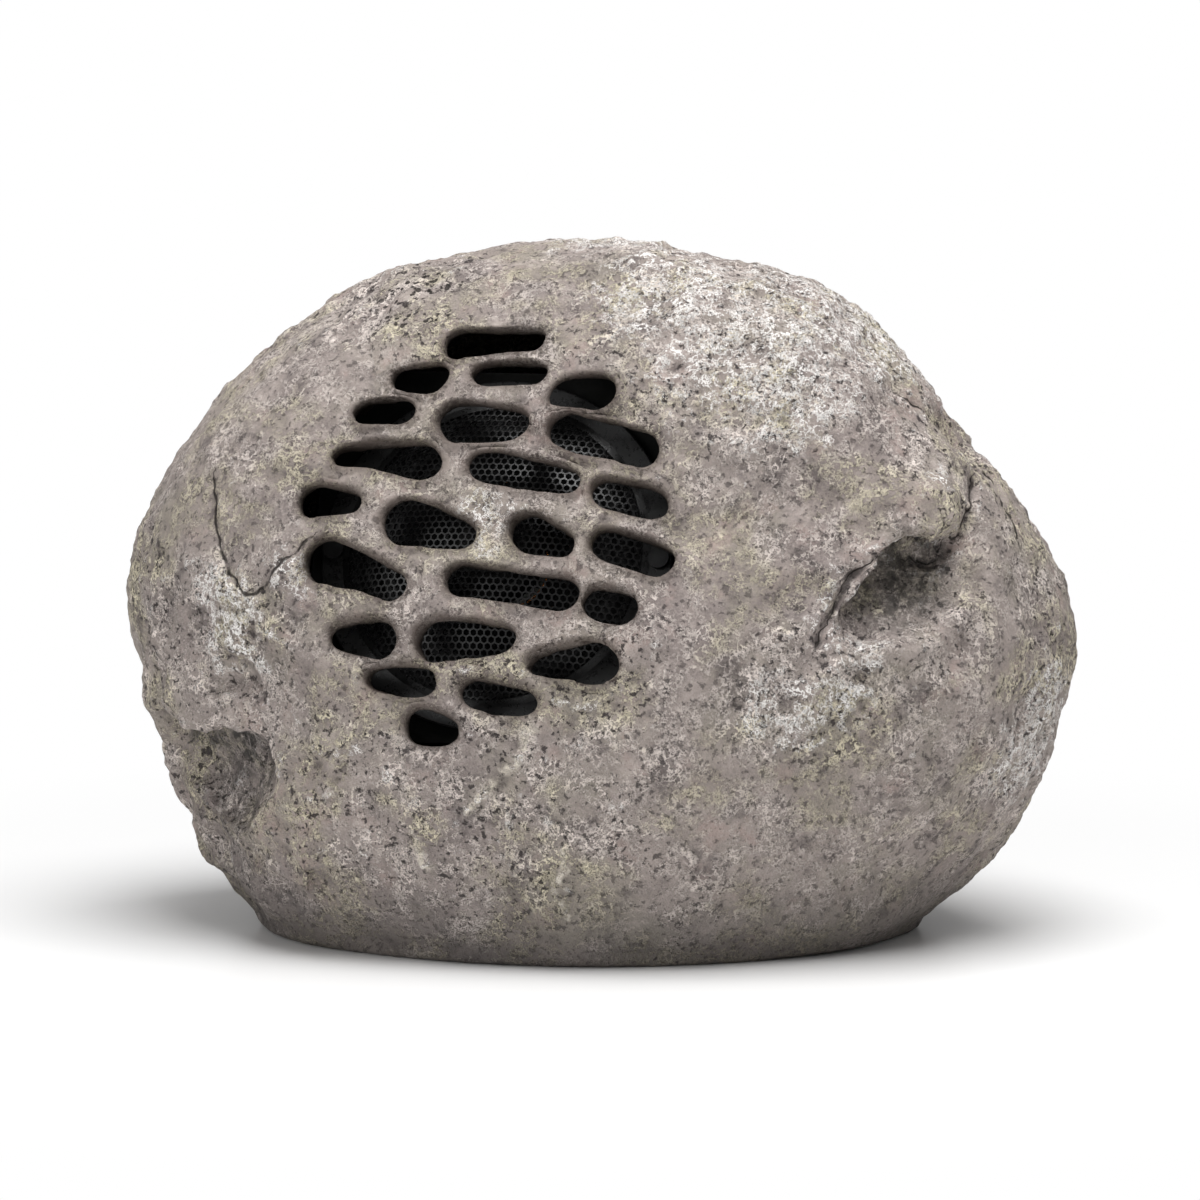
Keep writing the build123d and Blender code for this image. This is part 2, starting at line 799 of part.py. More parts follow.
with BuildPart() as tweeter_face:
    add(
        turned(
            (tweeter_dome_radius + tweeter_dome_sheet, tweeter_dome_top),
            (tweeter_radius, tweeter_dome_top),
            (tweeter_radius, tweeter_dome_top + tweeter_face_thickness / 2),
            (tweeter_radius - tweeter_face_thickness / 2, tweeter_dome_top + tweeter_face_thickness),
            (tweeter_radius - tweeter_wall, tweeter_dome_top + tweeter_face_thickness),
        )
    )

# Solder tags stand below the axis, under a spoke of the basket
strip_top = shelf_top - basket_sheet
strip_low = strip_top - strip_thickness
strip_plane = radial_plane(-90)

with BuildPart() as terminal_strip:
    with BuildSketch(strip_plane):
        with Locations(((strip_inner + strip_outer) / 2, (strip_low + strip_top) / 2)):
            Rectangle(strip_outer - strip_inner, strip_thickness)
    extrude(amount=strip_width / 2, both=True)

with BuildPart() as solder_tags:
    for side in (-1, 1):
        with BuildSketch(strip_plane.offset(side * tag_spacing / 2)):
            with Locations((strip_outer, strip_low - tag_thickness / 2)):
                Rectangle(2 * tag_reach, tag_thickness)
        extrude(amount=tag_width / 2, both=True)

with BuildPart() as base_plate:
    extrude(base_sketch(plate_recess, base_rim + plate_clearance), amount=plate_thickness)
    extrude(base_sketch(plate_top, opening_inset + plate_clearance), amount=locating_rib_height)
    extrude(
        base_sketch(plate_top, opening_inset + plate_clearance + locating_rib_width),
        amount=locating_rib_height,
        mode=Mode.SUBTRACT,
    )
    with BuildSketch(Plane.XY.offset(plate_top)):
        with GridLocations(*board_grid, 2, 2):
            Circle(standoff_radius)
    extrude(amount=standoff_height)
    with BuildSketch(Plane.XY.offset(board_low)):
        with GridLocations(*board_grid, 2, 2):
            Circle(screw_shank + screw_pilot_clearance)
    extrude(amount=-standoff_height, mode=Mode.SUBTRACT)
    with BuildSketch(Plane.XY.offset(plate_recess)):
        with Locations(*base_screw_points):
            Circle(screw_shank + screw_hole_clearance)
    extrude(amount=plate_thickness, mode=Mode.SUBTRACT)

with BuildPart() as base_seal:
    extrude(base_sketch(plate_top, base_rim + plate_clearance), amount=seal_thickness)
    extrude(base_sketch(plate_top, opening_inset), amount=seal_thickness, mode=Mode.SUBTRACT)
    with BuildSketch(Plane.XY.offset(plate_top)):
        with Locations(*base_screw_points):
            Circle(screw_shank + screw_hole_clearance)
    extrude(amount=seal_thickness, mode=Mode.SUBTRACT)

with BuildPart() as base_screws:
    with BuildSketch(Plane.XY.offset(plate_recess)):
        with Locations(*base_screw_points):
            Circle(screw_head)
    extrude(amount=-screw_head_height)
    with BuildSketch(Plane.XY.offset(plate_recess)):
        with Locations(*base_screw_points):
            Circle(screw_shank)
    extrude(amount=base_screw_length)

with BuildPart() as crossover_board:
    with BuildSketch(Plane.XY.offset(board_low)):
        RectangleRounded(board_width, board_depth, board_corner)
        with GridLocations(*board_grid, 2, 2):
            Circle(screw_shank + screw_hole_clearance, mode=Mode.SUBTRACT)
    extrude(amount=board_thickness)

with BuildPart() as board_screws:
    with BuildSketch(Plane.XY.offset(board_top)):
        with GridLocations(*board_grid, 2, 2):
            Circle(screw_head)
    extrude(amount=screw_head_height)
    with BuildSketch(Plane.XY.offset(board_top)):
        with GridLocations(*board_grid, 2, 2):
            Circle(screw_shank)
    extrude(amount=-board_screw_length)

coil_axis = Axis((coil_x, coil_y, board_top), (0, 0, 1))
coil_plane = Plane((coil_x, coil_y, board_top), x_dir=(1, 0, 0), z_dir=(0, -1, 0))

with BuildPart() as inductor_bobbin:
    with BuildSketch(coil_plane):
        with BuildLine():
            Polyline(
                (coil_bore, 0),
                (coil_radius, 0),
                (coil_radius, coil_cheek),
                (coil_hub, coil_cheek),
                (coil_hub, coil_height - coil_cheek),
                (coil_radius, coil_height - coil_cheek),
                (coil_radius, coil_height),
                (coil_bore, coil_height),
                close=True,
            )
        make_face()
    revolve(axis=coil_axis)

with BuildPart() as inductor_winding:
    with BuildSketch(coil_plane):
        with Locations(((coil_hub + coil_radius - coil_cheek) / 2, coil_height / 2)):
            Rectangle(coil_radius - coil_cheek - coil_hub, coil_height - 2 * coil_cheek)
    revolve(axis=coil_axis)

with BuildPart() as capacitors:
    with BuildSketch(Plane.XY.offset(board_top)):
        with Locations((capacitor_x, capacitor_y), (capacitor_x + capacitor_spacing, capacitor_y)):
            Circle(capacitor_radius)
    extrude(amount=capacitor_height)
    chamfer(capacitors.edges().group_by(Axis.Z)[-1], capacitor_edge)

with BuildPart() as resistor:
    with BuildSketch(Plane.XY.offset(board_top)):
        with Locations((resistor_x, resistor_y)):
            Rectangle(resistor_length, resistor_width)
    extrude(amount=resistor_height)
    chamfer(resistor.edges().group_by(Axis.Z)[-1], resistor_edge)

with BuildPart() as input_terminal:
    with BuildSketch(Plane.XY.offset(board_top)):
        with Locations((terminal_x, terminal_y)):
            Rectangle(terminal_length, terminal_width)
    extrude(amount=terminal_height)
    with BuildSketch(Plane.XY.offset(board_top + terminal_height)):
        with Locations((terminal_x, terminal_y)):
            with GridLocations(terminal_pitch, 0, 2, 1):
                Circle(terminal_hole)
    extrude(amount=-terminal_hole_depth, mode=Mode.SUBTRACT)

with BuildPart() as gland_body:
    with BuildSketch(gland_plane):
        RegularPolygon(gland_flats / 2, 6, major_radius=False)
    extrude(amount=gland_flange)
    with BuildSketch(gland_plane.offset(-gland_wall - gland_nut_height - gland_thread_tail)):
        Circle(gland_thread_radius)
    extrude(amount=gland_wall + gland_nut_height + gland_thread_tail + gland_flange + gland_neck)
    with BuildSketch(gland_plane.offset(-gland_wall - gland_nut_height - gland_thread_tail)):
        Circle(gland_bore)
    extrude(
        amount=gland_wall + gland_nut_height + gland_thread_tail + gland_flange + gland_neck,
        mode=Mode.SUBTRACT,
    )

with BuildPart() as gland_nut:
    with BuildSketch(gland_plane.offset(-gland_wall)):
        RegularPolygon(gland_flats / 2, 6, major_radius=False)
        Circle(gland_hole, mode=Mode.SUBTRACT)
    extrude(amount=-gland_nut_height)

with BuildPart() as gland_cap:
    with BuildSketch(gland_plane.offset(gland_flange)):
        RegularPolygon(gland_cap_flats / 2, 6, major_radius=False)
    extrude(amount=gland_cap_grip)
    with BuildSketch(gland_plane.offset(gland_flange + gland_cap_grip)):
        Circle(gland_cap_flats / 2)
    extrude(amount=gland_cap_nose, taper=gland_cap_taper)
    with BuildSketch(gland_plane.offset(gland_flange)):
        Circle(gland_hole)
    extrude(amount=gland_neck, mode=Mode.SUBTRACT)
    with BuildSketch(gland_plane.offset(gland_flange)):
        Circle(gland_cap_mouth)
    extrude(amount=gland_cap_grip + gland_cap_nose, mode=Mode.SUBTRACT)

with BuildPart() as gland_seal:
    with BuildSketch(gland_plane.offset(-gland_seal_depth)):
        Circle(gland_bore - gland_seal_clearance)
        Circle(gland_seal_bore, mode=Mode.SUBTRACT)
    extrude(amount=gland_seal_depth + gland_flange + gland_neck)


def lead(points):
    """Round lead along a route with rounded corners."""
    with BuildPart() as form:
        with BuildLine() as route:
            FilletPolyline(*points, radius=lead_bend)
        with BuildSketch(Plane(points[0], z_dir=Vector(points[1]) - Vector(points[0]))):
            Circle(lead_radius)
        sweep(path=route.line)
    return form.part


with BuildPart() as speaker_lead:
    for side in (-1, 1):
        tag = strip_plane.offset(side * tag_spacing / 2)
        tag_point = tag.from_local_coords((strip_outer + tag_reach / 2, strip_low - tag_thickness, 0))
        x = tag_point.X
        add(
            lead(
                [
                    tag_point,
                    tag_point - grille_normal * lead_straight,
                    (x, speaker_lead_y, board_top + lead_rise),
                    (x, speaker_lead_y, board_top),
                ]
            )
        )

with BuildPart() as tweeter_lead:
    post_end = baffle_centre + grille_normal * (yoke_low - post_nut_height)
    lead_start = post_end + grille_normal * lead_in_post
    add(
        lead(
            [
                lead_start,
                post_end - grille_normal * lead_straight,
                (tweeter_lead_x, tweeter_lead_y, board_top + lead_rise),
                (tweeter_lead_x, tweeter_lead_y, board_top),
            ]
        )
    )

pieces = {
    "rock_shell": rock_shell,
    "mesh_grille": mesh_grille,
    "baffle_plate": baffle_plate,
    "baffle_screws": baffle_screws,
    "driver_gasket": driver_gasket,
    "driver_frame": driver_frame,
    "driver_screws": driver_screws,
    "surround": surround,
    "cone": cone,
    "voice_coil": voice_coil,
    "spider": spider,
    "top_plate": top_plate,
    "magnet": magnet,
    "yoke": yoke,
    "tweeter_post": tweeter_post,
    "tweeter_housing": tweeter_housing,
    "tweeter_magnet": tweeter_magnet,
    "tweeter_dome": tweeter_dome,
    "tweeter_face": tweeter_face,
    "terminal_strip": terminal_strip,
    "solder_tags": solder_tags,
    "speaker_lead": speaker_lead,
    "tweeter_lead": tweeter_lead,
    "crossover_board": crossover_board,
    "board_screws": board_screws,
    "inductor_bobbin": inductor_bobbin,
    "inductor_winding": inductor_winding,
    "capacitors": capacitors,
    "resistor": resistor,
    "input_terminal": input_terminal,
    "base_plate": base_plate,
    "base_seal": base_seal,
    "base_screws": base_screws,
    "gland_body": gland_body,
    "gland_nut": gland_nut,
    "gland_cap": gland_cap,
    "gland_seal": gland_seal,
}

for name, piece in pieces.items():
    piece.part.label = name
    export_step(piece.part, f"parts/{name}.step")
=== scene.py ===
"""Looks of the rock shaped garden speaker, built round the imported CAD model.

The cast boulder gets its rough relief and painted finish, the mesh behind the slots its fine
honeycomb, and every other CAD node a finish of its own. Metres, +Z up, the grille faces -Y.
Marks on the boulder are given in millimetres.
"""

import json
import math

import bmesh
import bpy
import numpy as np
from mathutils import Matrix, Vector, noise
from mathutils.bvhtree import BVHTree


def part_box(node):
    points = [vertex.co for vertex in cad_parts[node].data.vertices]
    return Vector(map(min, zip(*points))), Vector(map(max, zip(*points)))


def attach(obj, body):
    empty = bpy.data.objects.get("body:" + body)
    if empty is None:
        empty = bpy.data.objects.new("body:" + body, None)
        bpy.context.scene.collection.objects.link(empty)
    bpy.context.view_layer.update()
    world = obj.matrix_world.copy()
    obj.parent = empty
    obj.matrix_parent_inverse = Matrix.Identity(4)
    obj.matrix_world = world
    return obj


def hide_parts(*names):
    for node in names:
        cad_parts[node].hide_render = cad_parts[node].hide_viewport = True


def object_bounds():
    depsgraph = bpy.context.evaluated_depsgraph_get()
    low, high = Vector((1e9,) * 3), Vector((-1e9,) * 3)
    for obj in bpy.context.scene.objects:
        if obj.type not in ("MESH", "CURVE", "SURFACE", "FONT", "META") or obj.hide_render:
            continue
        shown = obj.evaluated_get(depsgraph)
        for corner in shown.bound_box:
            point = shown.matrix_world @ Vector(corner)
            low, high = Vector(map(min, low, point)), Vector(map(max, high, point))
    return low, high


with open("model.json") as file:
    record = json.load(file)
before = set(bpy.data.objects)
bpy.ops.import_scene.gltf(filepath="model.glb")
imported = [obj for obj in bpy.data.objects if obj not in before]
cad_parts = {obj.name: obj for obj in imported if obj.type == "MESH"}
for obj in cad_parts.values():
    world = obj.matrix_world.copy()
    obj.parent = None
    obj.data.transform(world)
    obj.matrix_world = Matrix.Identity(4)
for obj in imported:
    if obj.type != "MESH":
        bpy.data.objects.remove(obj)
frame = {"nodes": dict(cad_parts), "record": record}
cad_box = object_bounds()
nodes = frame["nodes"]
scene = bpy.context.scene

MM = 0.001

# Seed of the swirls in drift(), which Blender otherwise takes from the clock
noise_seed = 3
noise.seed_set(noise_seed)

# Camera: it looks at the boulder from the photograph's side and height.
camera_azimuth = math.radians(14)
camera_elevation = math.radians(10)
camera_distance = 1.83
picture_width = 0.375
sensor_width = 36
aim_up = 0.1

# Stage: metres and watts
lamp_target = (0, 0, 0.1)
floor_side = 12.0
floor_drop = 0.0002
floor_fade = (0.12, 0.38)
world_light = 0.30

# Grille, as on the CAD model
grille_lean = math.radians(22)
grille_normal = Vector((0, -math.cos(grille_lean), math.sin(grille_lean)))
grille_up = Vector((0, math.sin(grille_lean), math.cos(grille_lean)))

# Boulder mesh, and the pull towards the neighbours in each round of a smoothing
voxel = 1.5 * MM
most_triangles = 194000
rim_rounding = (0.5,) * 9
ledge_rounding = (0.5,) * 8
skin_rounding = (0.5,) * 2
skin_border = (0.5,) * 6
crest_reach = (0.5,) * 14

# Inner wall behind the hollow: how thick it stays, how far off the skin is looked for, and how many
# points round a thin place move with it
least_wall = 2.0
wall_search = 9.0
wall_spread = 3
wall_smoothing = (0.5,) * 6
wall_reach = (66, 56)

# Mask of the skin: it grows from places near the hull and above the base rim, whose inside is near
# the hull too, and ends at the slots, the base and the recess of the gland
seed_depth = 2.5
seed_height = 3
base_height = 0.8
slot_reach = (76, 62)
slot_along = (-12, 0)
slot_share = 0.3
slot_depth = 6
gland_reach = 22
gland_depth = 4

# Bar in the thin web between the third and fourth slot: its place across and up the grille
web_place = (15.9, 49.2)
web_turn = math.radians(54)
web_length = 15.0
web_width = 5.5
web_sink = 3.5

# Marks on the boulder, and how far off a line's points the skin may lie
line_reach = 8
crack = [
    (-106, -64, 143), (-105, -69, 135), (-103, -73, 127), (-99, -77, 119), (-91, -82, 109),
    (-84, -84, 112), (-81, -84, 118), (-69, -84, 127),
]
back_cracks = [
    [(40, 78, 150), (25, 87, 132), (30, 91, 114), (12, 97, 95), (18, 97, 78)],
    [(-80, 70, 140), (-92, 66, 118), (-88, 70, 100), (-100, 62, 84)],
]
notch_crease = [
    (85, -77, 99), (90, -73, 108), (95, -68, 119), (100, -62, 124), (107, -50, 122), (114, -42, 122),
    (120, -36, 128), (122, -32, 138), (121, -25, 143),
]
notch_rim = [(85, -77, 97), (94, -73, 97), (99, -70, 95), (111, -58, 98), (119, -52, 102), (126, -46, 108)]
notch_nose = (112, -42, 138)
notch_nose_drop = (1.0, -2.5, -6.5)
notch_brow = (119, -14, 157)
notch_floor = (104, -52, 110)
hollow_ridge = [
    (-129, -47, 71), (-110, -68, 73), (-93, -79, 73), (-83, -85, 70), (-77, -85, 61), (-73, -87, 50),
]
hollow_floor = (-108, -55, 52)
hollow_slant = (0.45, -0.4, 0)
hollow_foot = (-102, -64, 42)
shoulder = [(100, -30, 172), (112, -18, 160), (119, -9, 152), (130, -14, 138), (134, -20, 126)]
valley = (65, -73, 138)
pock_patch = (-46, -38, 197)
gland_place = (0, 92, 31)
# Places with a pale brushed finish, which also take more of the painted highlight on high places, each with
# its reach
pale_places = [
    (35, -38, 203, 26), (55, -51, 187, 26), (72, -54, 176, 22), (81, -16, 194, 32), (10, 10, 213, 30),
    (-95, -80, 99, 13), (-101, -76, 110, 9), (-73, -86, 117, 7), (77, -82, 80, 12), (94, -73, 83, 9),
    (138, -18, 61, 17), (142, -16, 75, 13), (96, -72, 97, 9), (112, -40, 146, 6), (-15, -92, 138, 14),
]
# Places that are rougher than the rest, and places that are smoother
rough_places = [
    (-55, -93, 48, 36), (-95, -80, 95, 30), (55, -51, 187, 46), (81, -16, 194, 42), (112, -18, 160, 26),
    (112, -36, 142, 20), (-5, -100, 35, 32), (85, -80, 85, 26), (138, -18, 70, 30),
]
smooth_places = [(65, -73, 138, 36), (-100, -50, 160, 42), (122, -52, 76, 22), (60, -95, 50, 26)]
# Pale veins below the grille
veins = [
    [(-14, -101, 50), (-8, -101, 60), (0, -101, 64), (4, -101, 73)],
    [(13, -96, 36), (11, -94, 27), (14, -91, 17)],
    [(-34, -98, 40), (-30, -97, 30)],
]


def smooth_step(low, high, values):
    """0 below low, 1 above high, and a soft rise between them."""
    share = np.clip((values - low) / (high - low), 0, 1)
    return share * share * (3 - 2 * share)


def distance_to(points, place):
    """Distance of points from a place."""
    return np.linalg.norm(points - np.array(place), axis=1)


def side_of_lines(points, normals, lines):
    """Distance along the skin to the nearest of some lines, below zero on their right."""
    nearest, side = np.full(len(points), 1e9), np.ones(len(points))
    for line in lines:
        for start, end in zip(line[:-1], line[1:]):
            start, run = np.array(start, float), np.array(end, float) - np.array(start, float)
            offset = points - start
            share = np.clip(offset @ run / (run @ run), 0, 1)
            gap = offset - share[:, None] * run
            above = np.einsum("ij,ij->i", gap, normals)
            away = np.linalg.norm(gap - above[:, None] * normals, axis=1)
            away = np.where(np.abs(above) < line_reach, away, 1e9)
            left = np.einsum("ij,ij->i", np.cross(run, offset), normals) > 0
            side = np.where(away < nearest, np.where(left, 1, -1), side)
            nearest = np.minimum(nearest, away)
    return nearest * side


def line_distance(points, normals, *lines):
    """Distance along the skin to the nearest of some lines."""
    return np.abs(side_of_lines(points, normals, lines))


def cloud(points, size, octaves=3, shift=0.0):
    """Soft noise from about -1 to 1, with lumps of a size in millimetres."""
    move = Vector((shift, 2 * shift, 3 * shift))
    values = [noise.fractal(Vector(p) / size + move, 1.0, 2.0, octaves) for p in points]
    return np.clip(np.array(values), -1, 1)


def ridges(points, size, octaves=4, shift=0.0):
    """Noise with sharp crests, from about -1 to 1."""
    move = Vector((shift, 2 * shift, 3 * shift))
    crests = noise.ridged_multi_fractal
    values = [crests(Vector(p) / size + move, 0.9, 2.1, octaves, 1.0, 2.0) for p in points]
    return np.clip(np.array(values) - 1.2, -1.2, 1.2)


def drift(points, size, shift=0.0):
    """Soft wandering in all directions, with swirls of a size in millimetres."""
    move = Vector((shift, 2 * shift, 3 * shift))
    return np.array([noise.turbulence_vector(Vector(p) / size + move, 2, False) for p in points])


def relaxed(values, edges, weight, pulls):
    """Rows of values drawn towards the mean of their neighbours by each pull in turn."""
    count = len(values)
    degree = np.maximum(np.bincount(edges.ravel(), minlength=count), 1)[:, None]
    for pull in pulls:
        total = np.zeros_like(values)
        for column in range(values.shape[1]):
            total[:, column] = np.bincount(edges[:, 0], values[edges[:, 1], column], count)
            total[:, column] += np.bincount(edges[:, 1], values[edges[:, 0], column], count)
        values = values + pull * weight[:, None] * (total / degree - values)
    return values


def vertex_places(mesh):
    flat = np.zeros(len(mesh.vertices) * 3, np.float32)
    mesh.vertices.foreach_get("co", flat)
    return flat.reshape(-1, 3).astype(float) / MM


def vertex_normals(mesh):
    flat = np.zeros(len(mesh.vertices) * 3, np.float32)
    mesh.vertex_normals.foreach_get("vector", flat)
    return flat.reshape(-1, 3).astype(float)


def with_modifier(obj, kind, **settings):
    """Mesh of an object with one modifier applied."""
    modifier = obj.modifiers.new(kind, kind)
    for name, value in settings.items():
        setattr(modifier, name, value)
    view = bpy.context.evaluated_depsgraph_get()
    mesh = bpy.data.meshes.new_from_object(obj.evaluated_get(view))
    obj.modifiers.clear()
    return mesh


def float_attribute(mesh, name, values):
    """Number on every vertex, for a material to read."""
    mesh.attributes.new(name, "FLOAT", "POINT").data.foreach_set("value", values.astype(np.float32))


def hull_depth(points, mesh):
    """How far points lie inside the convex hull of a mesh, in millimetres."""
    shape = bmesh.new()
    shape.from_mesh(mesh)
    hull = bmesh.ops.convex_hull(shape, input=shape.verts)
    inside = [g for g in hull["geom_interior"] + hull["geom_unused"] if isinstance(g, bmesh.types.BMVert)]
    bmesh.ops.delete(shape, geom=inside, context="VERTS")
    tree = BVHTree.FromBMesh(shape)
    depth = [tree.find_nearest(Vector(p) * MM)[3] / MM for p in points]
    shape.free()
    return np.array(depth)


def reached(found, edges, closed):
    """Points that can be reached from the found ones along edges, without passing closed ones."""
    found, before = found & ~closed, -1
    while found.sum() > before:
        before = found.sum()
        grown = found.copy()
        grown[edges[found[edges[:, 0]], 1]] = True
        grown[edges[found[edges[:, 1]], 0]] = True
        found = grown & ~closed
    return found


def keep_wall(points, normals, edges, faces, skin, inner):
    """Inner wall moved into the cavity wherever the carved skin comes too near to it."""
    outer = [face for face in faces if min(skin[v] for v in face) > 0.5]
    tree = BVHTree.FromPolygons(points.tolist(), outer)
    short = np.zeros(len(points))
    for k in np.flatnonzero(inner > 0):
        place, facing, _, _ = tree.find_nearest(points[k], wall_search)
        if place is not None:
            short[k] = least_wall - (np.array(place) - points[k]) @ np.array(facing)
    short = np.clip(short, 0, wall_search)
    for _ in range(wall_spread):
        wider = short.copy()
        np.maximum.at(wider, edges[:, 0], short[edges[:, 1]])
        np.maximum.at(wider, edges[:, 1], short[edges[:, 0]])
        short = wider
    short = relaxed(short[:, None], edges, (inner > 0).astype(float), wall_smoothing)[:, 0]
    return points + normals * (short * inner)[:, None]


def boulder_zones(points, normals, bent):
    """Shares of each place in the rough, pale, veined, pocked and hollow parts of the casting."""
    # Hollow and notch: rougher, and where the paint lays painted shade
    hollows = smooth_step(52, 34, distance_to(bent, hollow_floor))
    hollows = np.maximum(hollows, 0.9 * smooth_step(34, 24, distance_to(bent, notch_floor)))
    pale = smooth_step(0.30, 0.65, cloud(points, 50, 3, 21.0)) * smooth_step(-20, 30, points[:, 1])
    for *place, reach in pale_places:
        pale = np.maximum(pale, smooth_step(1.8 * reach, 0.2 * reach, distance_to(bent, place)))
    rough = smooth_step(-0.1, 0.5, cloud(points, 55, 3, 4.0))
    for *place, reach in smooth_places:
        rough = np.minimum(rough, smooth_step(0.4 * reach, 1.4 * reach, distance_to(bent, place)))
    for *place, reach in rough_places:
        rough = np.maximum(rough, smooth_step(1.3 * reach, 0.5 * reach, distance_to(bent, place)))
    rough = np.maximum(rough, np.maximum(0.8 * hollows, 0.6 * pale))
    vein = smooth_step(1.9, 0.3, line_distance(bent, normals, *veins))
    pocks = smooth_step(22, 12, distance_to(points, pock_patch))
    return rough, pale, vein, pocks, hollows


def boulder_relief(points, normals, bent, depth, rough, vein):
    """Relief of the casting along its normals in millimetres: broad forms, and fine ones."""
    broad = -1.5 + 0.5 * cloud(points, 60, 2, 1.0) + 1.2 * cloud(points, 24, 3, 2.0)
    broad += (1.8 * cloud(points, 38, 3, 13.0) - 0.6) * smooth_step(0, 50, points[:, 1])
    broad -= 1.2 * smooth_step(36, 8, distance_to(points, valley))
    broad += 4.0 * smooth_step(15, 4, distance_to(points, notch_nose)) * smooth_step(11, 7, depth)
    broad -= 3.5 * smooth_step(17, 4, distance_to(points, notch_brow))
    broad += 1.8 * smooth_step(8, 1, line_distance(points, normals, notch_rim))
    broad += 2.0 * smooth_step(11, 2, line_distance(points, normals, hollow_ridge))
    broad -= 3.0 * smooth_step(28, 10, distance_to(points, hollow_foot))

    # Flakes stand off in steps, with sharp lower edges
    layers = cloud(bent, 15, 4, 7.0) + 0.6 * cloud(points, 34, 2, 9.0)
    steps = np.floor(layers * 3.2) / 3.2
    fine = (steps + 0.35 * (layers - steps)) * 1.6 * rough
    fine += 1.1 * ridges(points, 17, 4, 5.0) * (0.35 + 0.65 * rough)
    fine += 0.75 * cloud(points, 10.0, 3, 17.0) + 0.5 * cloud(points, 4.6, 3, 11.0)
    fine *= 0.3 + 0.7 * smooth_step(4, 26, points[:, 2])

    # Cracks, creases and veins
    fine -= 0.7 * smooth_step(2.6, 0.3, line_distance(points, normals, crack, *back_cracks))
    fine -= 2.0 * smooth_step(3.2, 0.5, line_distance(points, normals, notch_crease))
    fine -= 0.8 * smooth_step(2.6, 0.4, line_distance(points, normals, shoulder))
    fine += 0.8 * vein
    return broad, fine


def with_web(mesh):
    """Copy of the casting's mesh, with a rounded bar in the thin web between two slots."""
    low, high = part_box("mesh_grille")
    middle = Vector((low + high) / 2)
    bar = (Vector((1, 0, 0)) * math.cos(web_turn) + grille_up * math.sin(web_turn)).normalized()
    spot = middle + (Vector((1, 0, 0)) * web_place[0] + grille_up * web_place[1]) * MM
    shape = bmesh.new()
    shape.from_mesh(mesh)
    tree = BVHTree.FromBMesh(shape)
    ends = [spot + side * bar * web_length * MM / 2 + grille_normal * 0.1 for side in (-1, 1)]
    ends = [tree.ray_cast(end, -grille_normal)[0] - grille_normal * web_sink * MM for end in ends]
    made = bmesh.ops.create_icosphere(shape, subdivisions=3, radius=1.0)["verts"]
    across = bar.cross(grille_normal)
    for vert in made:
        x, y, z = vert.co
        reach = bar * x * web_length * 0.6 + across * y * web_width / 2 + grille_normal * z * web_sink
        vert.co = (ends[0] + ends[1]) / 2 + reach * MM
    copy = bpy.data.meshes.new("rock_casting")
    shape.to_mesh(copy)
    shape.free()
    return copy


def skin_mask(points, edges, depth):
    """Shares of each place in the part with slots, and in the outer skin of the casting."""
    low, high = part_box("mesh_grille")
    offset = points - np.array((low + high) / 2) / MM
    along = offset @ np.array(grille_normal)
    radial = np.linalg.norm(offset - along[:, None] * np.array(grille_normal), axis=1)
    near_slots = smooth_step(*slot_reach, radial) * smooth_step(*slot_along, along)
    closed = (near_slots > slot_share) & (depth > slot_depth) | (points[:, 2] < base_height)
    closed |= (distance_to(points, gland_place) < gland_reach) & (depth > gland_depth)
    skin = reached((depth < seed_depth) & (points[:, 2] > seed_height), edges, closed).astype(float)
    return near_slots, relaxed(skin[:, None], edges, np.ones(len(skin)), skin_border)[:, 0]


